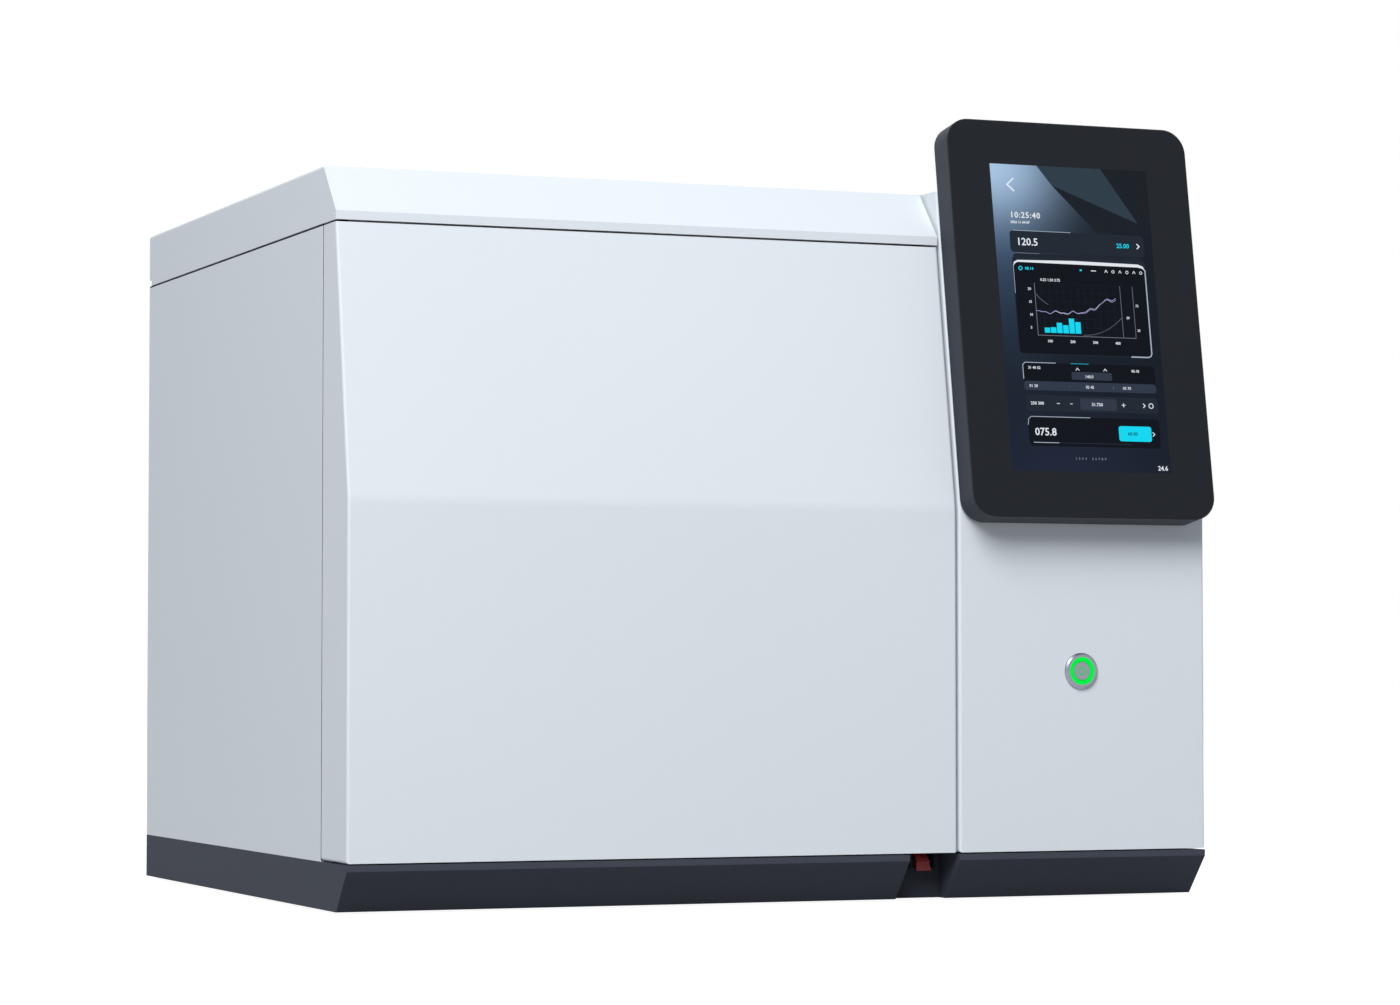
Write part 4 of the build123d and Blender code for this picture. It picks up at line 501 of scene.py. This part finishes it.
def drawChart():
    left, right, low, high = chart["left"], chart["right"], chart["low"], chart["high"]
    for line in np.linspace(low, high, 7)[1:]:
        drawStroke("grid", [(left, line), (right - 10, line)], 0.15, layer=4)
    for line in np.linspace(left, right - 10, 13)[1:]:
        drawStroke("grid", [(line, low), (line, high)], 0.15, layer=4)
    drawStroke("dim", [(left, high), (left, low), (right, low)], 0.35, layer=5)
    drawStroke("dim", [(right - 10, low), (right - 10, high)], 0.25, layer=5)
    drawStroke("dim", [(right, low), (right, high)], 0.25, layer=5)
    for step in range(4):
        drawDigits("white", f"{5 * (step + 1)}", 22.5, low + 4.5 + 9.4 * step, 1.9, layer=5)
        drawDigits("white", f"{100 * (step + 1)}", left + 7.0 + 18.0 * step, low - 5.0, 2.0, layer=5)
    for step, words in enumerate(("25", "50", "75")):
        drawDigits("white", words, right + 1.5 - 8.0 * (step % 2), low + 5.0 + 9.0 * step, 1.8, layer=5)
    for place, height in enumerate(chart["barHeights"]):
        start = chart["firstBar"] + chart["barPitch"] * place
        drawBox("cyan", start, start + chart["barWidth"], low + 2.0, low + 2.0 + height, layer=6)
    # two traces: slow waves with a rise towards the right, after a smooth step
    along = np.linspace(0, 1, 46)
    rise = 1 / (1 + np.exp(-(along - 0.78) * 16))
    trace = low + 17.0 + 0.8 * np.sin(along * 31) + 0.5 * np.sin(along * 57 + 1) + 12.0 * rise
    drawStroke("violet", np.stack([left + along * 64, trace], axis=1), 0.32, layer=7)
    second = trace + 1.2 * np.sin(along * 9 + 2) * along
    drawStroke("rim", np.stack([left + along * 64, second], axis=1), 0.25, layer=6)
    fall = low + 30.0 - 10.0 * along[:14] ** 0.7 * 1.8
    drawStroke("dim", np.stack([left + 1 + along[:14] * 30, fall], axis=1), 0.2, layer=6)
    climb = low + 1.0 + 14.0 * along ** 2.2
    drawStroke("dim", np.stack([left + 36 + along * 32, climb], axis=1), 0.2, layer=6)


def drawRows():
    drawBox("night", 14.0, 118.6, 58.0, 78.0, 2.0)
    drawStroke("rim", [(14.0, 66.0), (14.0, 76.2), (15.8, 78.0), (40.0, 78.0)], 0.5)
    drawStroke("cyan", [(52.0, 78.0), (66.0, 78.0)], 0.25)
    drawBox("strip", 14.0, 118.6, 58.0, 64.6, 2.0, layer=3)
    drawBox("strip", 52.0, 84.0, 66.4, 72.0, 1.0, layer=3)
    drawDigits("white", "31 40 52", 18.0, 73.4, 2.0)
    drawDigits("white", "06.18", 100.0, 73.0, 2.0)
    drawDigits("white", "140.0", 62.5, 67.8, 2.2)
    for middle in (57.0, 79.0):
        drawStroke("white", [(middle - 1.4, 73.2), (middle, 74.8), (middle + 1.4, 73.2)], 0.5)
    for start, words in ((18.0, "01 20"), (62.5, "02 45"), (92.0, "03 70")):
        drawDigits("white", words, start, 60.2, 2.1)
    for start in (50.0, 84.5):
        drawStroke("cyan", [(start, 60.2), (start, 62.4)], 0.3)
    drawBox("panel", 14.4, 118.9, 43.0, 54.6, 2.4)
    drawBox("strip", 57.0, 86.0, 44.6, 53.0, 1.4, layer=3)
    drawDigits("white", "250 300", 18.0, 47.6, 2.3)
    drawStroke("white", [(38.5, 48.8), (41.0, 48.8)], 0.45)
    drawStroke("white", [(49.0, 48.8), (51.0, 48.8)], 0.45)
    drawDigits("white", "31.750", 66.0, 47.6, 2.4)
    drawStroke("white", [(90.0, 48.8), (93.0, 48.8)], 0.5)
    drawStroke("white", [(91.5, 47.3), (91.5, 50.3)], 0.5, layer=4)
    drawChevron("white", (108.8, 48.8), 3.0, 0.6, point=1)
    drawRing("white", (113.5, 48.8), 1.7, 0.6)
    drawBox("night", 14.8, 118.9, 18.0, 39.0, 3.0)
    drawStroke("rim", [(14.8, 33.0), (15.4, 37.4), (17.6, 39.0), (64.0, 39.0)], 0.45)
    drawStroke("rim", [(18.0, 20.4), (38.0, 20.4)], 0.5)
    drawStroke("strip", [(38.0, 20.4), (96.0, 20.4)], 0.3)
    drawDigits("white", "075.8", 19.6, 25.6, 5.6)
    drawBox("cyan", 86.0, 112.0, 22.6, 33.6, 1.8, layer=4)
    drawDigits("night", "60.00", 93.0, 26.9, 2.6, layer=5)
    drawChevron("white", (114.6, 28.1), 3.0, 0.6, point=1)
    drawDigits("dim", "1 2 3 4    5 6 7 8 9", 50.0, 8.6, 1.7, spread=1.3)
    drawDigits("white", "24.6", 115.0, 2.0, 3.4)


def drawFacets():
    # two broad panes of light that lean across the upper right of the picture
    drawShape("paneLight", [(37.0, screenHeight), (88.0, screenHeight), (115.0, 183.0), (48.0, 208.4)], 1)
    drawShape("paneDark", [(48.0, 208.4), (115.0, 183.0), (88.0, screenHeight), (125.2, screenHeight),
                           (125.2, 176.0), (80.0, 176.0)], 1)


glowShades = {"base": (22, 27, 36), "bright": (168, 196, 226), "haze": (64, 88, 118), "foot": (34, 44, 70)}
footShare = 0.45


def screenBackground():
    # an even grid; the glow falls off with the distance from the upper left corner,
    # and a faint one rises below
    columns, rows = 41, 73
    across, upwards = np.meshgrid(np.linspace(0, screenWidth, columns), np.linspace(0, screenHeight, rows))
    flat = np.stack([across.ravel(), upwards.ravel()], axis=1)
    corner = np.arange(rows - 1)[:, None] * columns + np.arange(columns - 1)[None, :]
    faces = np.stack([corner, corner + 1, corner + columns + 1, corner + columns], axis=-1).reshape(-1, 4)
    material, tree, shader = newMaterial("screenGlow", specular=0.0)
    shader.inputs["Base Color"].default_value = (0.004, 0.005, 0.006, 1)
    shader.inputs["Roughness"].default_value = 0.3
    shader.inputs["Emission Strength"].default_value = 1.0
    glow = addNode(tree, "ShaderNodeAttribute", {"attribute_name": "glow"})
    tree.links.new(glow.outputs["Color"], shader.inputs["Emission Color"])
    ground = onScreen(flat, screen["groundLayer"])
    piece = newPiece("screen_background", ground, faces.tolist(), material, "cabinet")
    right, down = flat[:, 0] / screenWidth, 1 - flat[:, 1] / screenHeight
    bright = np.exp(-((right / 0.36) ** 2 + (down / 0.17) ** 2))
    haze = np.exp(-((right / 0.34) ** 2 + (down / 0.42) ** 2))
    foot = np.exp(-(((down - 1.02) / 0.22) ** 2 + ((right - 0.3) / 0.6) ** 2))
    shade = {part: np.array(seenColour(*seen)) for part, seen in glowShades.items()}
    colours = shade["base"] + haze[:, None] * (shade["haze"] - shade["base"])
    colours = colours + footShare * foot[:, None] * (shade["foot"] - shade["base"])
    colours = colours + bright[:, None] * (shade["bright"] - colours)
    attribute = piece.data.color_attributes.new("glow", "FLOAT_COLOR", "POINT")
    attribute.data.foreach_set("color", colours.astype(np.float32).ravel())
    thicken = piece.modifiers.new("body", "SOLIDIFY")
    thicken.thickness = screen["groundLayer"] * screen["layerStep"] + screen["sunk"]
    thicken.offset = -1
    return piece


inkColours = {
    "white": (226, 232, 238), "dim": (118, 126, 138), "rim": (168, 180, 196), "cyan": (18, 214, 240),
    "violet": (168, 160, 214), "grid": (28, 33, 46), "panel": (32, 39, 49), "strip": (48, 56, 72),
    "night": (13, 15, 22), "tab": (30, 36, 46), "paneLight": (46, 60, 72), "paneDark": (26, 30, 37),
}


def inkPieces():
    for ink, shapes in inks.items():
        points, faces, start = [], [], 0
        for flat, layer in shapes:
            lid = onScreen(flat, layer)
            foot = lid - (layer * screen["layerStep"] + screen["sunk"]) * screenOut
            count = len(flat)
            area = np.sum(flat[:, 0] * np.roll(flat[:, 1], -1) - np.roll(flat[:, 0], -1) * flat[:, 1])
            if area < 0:
                lid, foot = lid[::-1], foot[::-1]
            points.append(np.vstack([lid, foot]))
            ring = start + np.arange(count)
            nextRing = start + (np.arange(count) + 1) % count
            faces.append(ring.tolist())
            faces.append((ring + count)[::-1].tolist())
            faces.extend(np.stack([ring, ring + count, nextRing + count, nextRing], axis=1).tolist())
            start += 2 * count
        material = litMaterial("ink_" + ink, seenColour(*inkColours[ink]))
        newPiece("screen_" + ink, np.vstack(points), faces, material, "cabinet")


drawFacets()
drawHeader()
drawWindow()
drawChart()
drawRows()
screenBackground()
inkPieces()
print("touch screen drawn with", len(inks), "inks")


# the power sign inlaid in the button's cap

powerSign = {"radius": 2.6, "stroke": 0.85, "gap": 36.0, "height": 3.5, "barFoot": 0.2,
             "proud": 0.04, "depth": 0.25}


def powerSignPieces():
    # an arc open at the top and a bar in its gap, both swept straight back into the cap
    low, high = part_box("button_cap")
    middle = np.array([(low.x + high.x) / 2, low.y, (low.z + high.z) / 2])
    turn = np.radians(np.linspace(90 + powerSign["gap"], 450 - powerSign["gap"], 25))
    circle = np.stack([np.cos(turn), np.sin(turn)], axis=1)
    outer = (powerSign["radius"] + powerSign["stroke"] / 2) * circle
    inner = (powerSign["radius"] - powerSign["stroke"] / 2) * circle
    half, foot, top = powerSign["stroke"] / 2, powerSign["barFoot"], powerSign["height"]
    bar = np.array([(-half, foot), (half, foot), (half, top), (-half, top)])
    material = litMaterial("powerGreen", seenColour(10, 205, 70), strength=0.85, base=(0.0, 0.1, 0.02, 1))
    points, faces, start = [], [], 0
    strips = [np.vstack([outer[k:k + 2], inner[k:k + 2][::-1]]) for k in range(len(turn) - 1)] + [bar]
    for strip in strips:
        area = np.sum(strip[:, 0] * np.roll(strip[:, 1], -1) - np.roll(strip[:, 0], -1) * strip[:, 1])
        strip = strip if area > 0 else strip[::-1]
        for back in (-powerSign["proud"], powerSign["depth"]):
            solid = np.stack([strip[:, 0], np.full(4, back), strip[:, 1]], axis=1)
            points.append(middle + solid * millimetre)
        faces += [[start, start + 1, start + 2, start + 3], [start + 7, start + 6, start + 5, start + 4]]
        for k in range(4):
            beside = (k + 1) % 4
            faces.append([start + k, start + 4 + k, start + 4 + beside, start + beside])
        start += 8
    newPiece("power_sign", np.vstack(points), faces, material, "power_button")


powerSignPieces()
print("power sign inlaid")


# painted shade: thin dark strips that fill the seams of the casing where the gaps fall into shade,
# one up the left side panel's front edge, one along its top edge

seamShade = {
    "thick": 0.8, "lift": 1.25,         # how far they stand out of the panel's front and top edges
    "width": 1.1, "inset": 0.12,        # across the panel's thickness, from its outer face
    "sunk": 0.05,
    "footGap": 1.0, "headGap": 0.2,     # the upright one stops short of the panel's foot and the door's head
    "frontGap": 0.6, "rearGap": 0.5,    # and the long one short of the panel's front and rear edges
}
# the strips' dark colour is painted shade standing in for the shadow inside the seams, not a rubber seal
seamShadeColour = speckledMaterial("seamShadeColour", seenColour(44, 48, 56), roughness=0.8,
                              strength=0.2, specular=0.05)


def boxCorners(low, high):
    # the eight corners of a block, lower ring first, each ring taken anticlockwise from above
    ring = np.array([(0, 0), (1, 0), (1, 1), (0, 1)])
    ring = np.array(low)[None, :2] + ring * (np.array(high) - np.array(low))[None, :2]
    rings = [np.column_stack([ring, np.full(4, height)]) for height in (low[2], high[2])]
    return np.vstack(rings)


def seamShadePieces():
    low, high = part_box("side_panels")
    left, front, rear = low.x / millimetre, low.y / millimetre, high.y / millimetre
    foot, top = low.z / millimetre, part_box("door_skin")[1].z / millimetre
    upright = boxCorners((left + seamShade["inset"], front - seamShade["thick"], foot + seamShade["footGap"]),
                         (left + seamShade["width"], front + seamShade["sunk"], top - seamShade["headGap"]))
    along = boxCorners((left + seamShade["inset"], front + seamShade["frontGap"], top - seamShade["sunk"]),
                       (left + seamShade["width"], rear - seamShade["rearGap"], top + seamShade["lift"]))
    block = np.array([[0, 3, 2, 1], [4, 5, 6, 7], [0, 1, 5, 4], [1, 2, 6, 5], [2, 3, 7, 6], [3, 0, 4, 7]])
    points = np.vstack([upright, along]) * millimetre
    faces = np.vstack([block, block + len(upright)]).tolist()
    newPiece("painted_seam_shade", points, faces, seamShadeColour, "cabinet")


# lay the strips of painted seam shade
seamShadePieces()
print("casing seals laid")


# the wound capillary column on its cage

coil = {"tube": 0.43, "pitch": 0.9, "depth": 7.0, "segments": 96, "sides": 6, "wobble": 0.22,
        "endRise": 0.4, "steps": 40, "flange": 19.0}


def coilSection(radius, band):
    # every place where one turn crosses the section: the outline of the band walked at an even pitch
    inset = coil["tube"] + coil["wobble"] + 0.05
    outer, inner = radius - inset, radius - coil["depth"] + inset
    low, high = inset, band - inset
    along = np.arange(low, high, coil["pitch"])
    across = np.arange(inner, outer, coil["pitch"])
    front = np.stack([across, np.full(len(across), low)], axis=1)
    back = np.stack([across, np.full(len(across), high)], axis=1)
    rim = np.stack([np.full(len(along), outer), along], axis=1)
    bore = np.stack([np.full(len(along), inner), along], axis=1)
    return np.vstack([front, rim, back, bore])


def closedTorus(places, middle):
    # each turn is a ring whose radius and depth wander by a small sine, with a round tube carried round it
    turns, segments, sides = len(places), coil["segments"], coil["sides"]
    angle = np.arange(segments) * 2 * math.pi / segments
    around = np.arange(sides) * 2 * math.pi / sides
    phase = np.arange(turns)[:, None] * 2.4
    wander = coil["wobble"] * np.sin(3 * angle[None, :] + phase)
    radius = places[:, :1] + wander
    depth = places[:, 1:] + coil["wobble"] * np.sin(2 * angle[None, :] + phase * 1.7)
    reach = radius[:, :, None] + coil["tube"] * np.cos(around)[None, None, :]
    back = depth[:, :, None] + coil["tube"] * np.sin(around)[None, None, :]
    x = middle[0] + reach * np.cos(angle)[None, :, None]
    z = middle[2] + reach * np.sin(angle)[None, :, None]
    points = np.stack([x, middle[1] + back, z], axis=-1).reshape(-1, 3)
    turn, segment, side = np.meshgrid(np.arange(turns), np.arange(segments), np.arange(sides),
                                      indexing="ij")

    def corner(stepAlong, stepAround):
        return (turn * segments + (segment + stepAlong) % segments) * sides + (side + stepAround) % sides

    faces = np.stack([corner(0, 0), corner(0, 1), corner(1, 1), corner(1, 0)], axis=-1).reshape(-1, 4)
    return points, faces


def tubeAlong(path, radius, start, sides=8):
    # a circle carried along the path, square to its tangent, with a flat cap at each end
    tangent = np.gradient(path, axis=0)
    tangent = tangent / np.linalg.norm(tangent, axis=1, keepdims=True)
    first = np.cross(tangent, (0.0, 1.0, 0.0))
    first = first / np.linalg.norm(first, axis=1, keepdims=True)
    second = np.cross(tangent, first)
    around = np.arange(sides) * 2 * math.pi / sides
    ring = np.cos(around)[None, :, None] * first[:, None, :]
    ring = ring + np.sin(around)[None, :, None] * second[:, None, :]
    points = (path[:, None, :] + radius * ring).reshape(-1, 3)
    count = len(path)
    step, side = np.meshgrid(np.arange(count - 1), np.arange(sides), indexing="ij")
    here = start + step * sides + side
    beside = start + step * sides + (side + 1) % sides
    faces = np.stack([here, beside, beside + sides, here + sides], axis=-1).reshape(-1, 4).tolist()
    faces.append((start + np.arange(sides))[::-1].tolist())
    faces.append((start + (count - 1) * sides + np.arange(sides)).tolist())
    return points, faces


def coilEnd(middle, radius, band, port, turn):
    # the loose end leaves the coil upwards along its tangent and bends into the port:
    # a cubic curve of four points
    angle = math.radians(turn)
    leave = middle + np.array([radius * math.cos(angle), band / 2, radius * math.sin(angle)])
    lean = -math.copysign(math.sin(angle), math.cos(angle))
    tangent = np.array([lean, 0, abs(math.cos(angle))])
    reach = coil["endRise"] * np.linalg.norm(port - leave)
    hold = [leave, leave + tangent * reach, port - np.array([0, 0, reach]), port]
    t = np.linspace(0, 1, coil["steps"])[:, None]
    return ((1 - t) ** 3 * hold[0] + 3 * (1 - t) ** 2 * t * hold[1] + 3 * (1 - t) * t ** 2 * hold[2]
            + t ** 3 * hold[3])


def windCoil():
    low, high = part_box("capillary_column")
    radius, band = (high.x - low.x) / 2 / millimetre, (high.y - low.y) / millimetre
    middle = np.array([(low.x + high.x) / 2, low.y, (low.z + high.z) / 2]) / millimetre
    points, faces = closedTorus(coilSection(radius, band), middle)
    faces = faces.tolist()
    allPoints, start = [points], len(points)
    for node, turn in (("inlets", 165.0), ("detectors", 15.0)):
        stemLow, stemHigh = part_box(node)
        port = np.array([(stemLow.x + stemHigh.x) / 2, stemHigh.y, stemLow.z]) / millimetre
        port[1] -= coil["flange"]
        path = coilEnd(middle, radius - coil["depth"] / 2, band, port, turn)
        more, endFaces = tubeAlong(path, coil["tube"], start)
        allPoints.append(more)
        faces += endFaces
        start += len(more)
    piece = newPiece("wound_column", np.vstack(allPoints) * millimetre, faces, coatedTube, "cabinet",
                     smooth=True)
    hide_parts("capillary_column")


windCoil()
print("capillary column wound")


# camera, floor and light

camera = {
    "place": (-1.08215, -2.77194, 0.1623),
    "lift": 2.411,        # degrees above level
    "turn": -21.988,      # degrees towards the right
    "lens": 102.10,
    "sensor": 36.0,
}
lens = bpy.data.cameras.new("camera")
lens.lens = camera["lens"]
lens.sensor_width = camera["sensor"]
lens.clip_end = 50
viewer = bpy.data.objects.new("camera", lens)
viewer.location = camera["place"]
viewer.rotation_euler = (math.radians(90 + camera["lift"]), 0, math.radians(camera["turn"]))
bpy.context.scene.collection.objects.link(viewer)
bpy.context.scene.camera = viewer


def seesBackdrop(tree):
    # one where the ray comes straight from the camera, a mirror or through glass
    path = addNode(tree, "ShaderNodeLightPath")
    rays = mathNode(tree, "ADD", path.outputs["Is Camera Ray"], path.outputs["Is Glossy Ray"])
    return mathNode(tree, "ADD", rays, path.outputs["Is Transmission Ray"], clamp=True)


stage = {
    "floorSize": 14.0,
    "floorTone": 0.36,
    "lift": 0.95,                        # glow of the floor where the camera or a mirror sees it
    "worldLight": 0.26,                  # strength of the world as a lamp
    "worldTint": (0.83, 0.92, 1.06),
}


def makeFloor():
    half = stage["floorSize"] / 2
    corners = np.array([(-half, -half, 0), (half, -half, 0), (half, half, 0), (-half, half, 0)], float)
    mesh = bpy.data.meshes.new("floor")
    mesh.from_pydata(corners.tolist(), [], [[0, 1, 2, 3]])
    material = bpy.data.materials.new("floorWhite")
    material.use_nodes = True
    tree = material.node_tree
    tree.nodes.clear()
    tone = stage["floorTone"]
    matte = addNode(tree, "ShaderNodeBsdfDiffuse", Color=(tone, tone, tone, 1))
    lift = mathNode(tree, "MULTIPLY", seesBackdrop(tree), stage["lift"])
    shine = addNode(tree, "ShaderNodeEmission", Color=(1, 1, 1, 1), Strength=lift)
    both = addNode(tree, "ShaderNodeAddShader")
    tree.links.new(matte.outputs[0], both.inputs[0])
    tree.links.new(shine.outputs[0], both.inputs[1])
    out = addNode(tree, "ShaderNodeOutputMaterial")
    tree.links.new(both.outputs[0], out.inputs[0])
    mesh.materials.append(material)
    floor = bpy.data.objects.new("floor", mesh)
    bpy.context.scene.collection.objects.link(floor)


def makeWorld():
    world = bpy.data.worlds.new("studio")
    world.use_nodes = True
    bpy.context.scene.world = world
    tree = world.node_tree
    background = tree.nodes["Background"]
    seen = seesBackdrop(tree)
    tint = (*stage["worldTint"], 1)
    tree.links.new(mixColours(tree, seen, tint, (1, 1, 1, 1)), background.inputs["Color"])
    strength = mathNode(tree, "MULTIPLY", seen, 1 - stage["worldLight"])
    tree.links.new(mathNode(tree, "ADD", strength, stage["worldLight"]), background.inputs["Strength"])


softboxes = {
    "rear": {"place": (3.2, 3.2, 2.8), "aim": (0.0, 0.0, 0.25), "size": (2.8, 2.8), "power": 95.0},
    "key": {"place": (-2.2, -3.4, 3.6), "aim": (0.0, 0.0, 0.25), "size": (2.8, 3.0), "power": 268.0},
}


def makeLamps():
    for name, box in softboxes.items():
        lamp = bpy.data.lights.new(name, "AREA")
        lamp.shape = "RECTANGLE"
        lamp.size, lamp.size_y = box["size"]
        lamp.energy = box["power"]
        holder = bpy.data.objects.new(name, lamp)
        away = np.array(box["place"]) - np.array(box["aim"])
        away = away / np.linalg.norm(away)
        side = np.cross((0, 0, 1), away)
        side = side / np.linalg.norm(side)
        turn = np.stack([side, np.cross(away, side), away], axis=1)
        holder.matrix_world = Matrix.Translation(box["place"]) @ Matrix(turn.tolist()).to_4x4()
        bpy.context.scene.collection.objects.link(holder)


makeFloor()
makeWorld()
makeLamps()
bpy.context.scene.view_settings.view_transform = "Standard"
print("camera, floor and lamps placed")
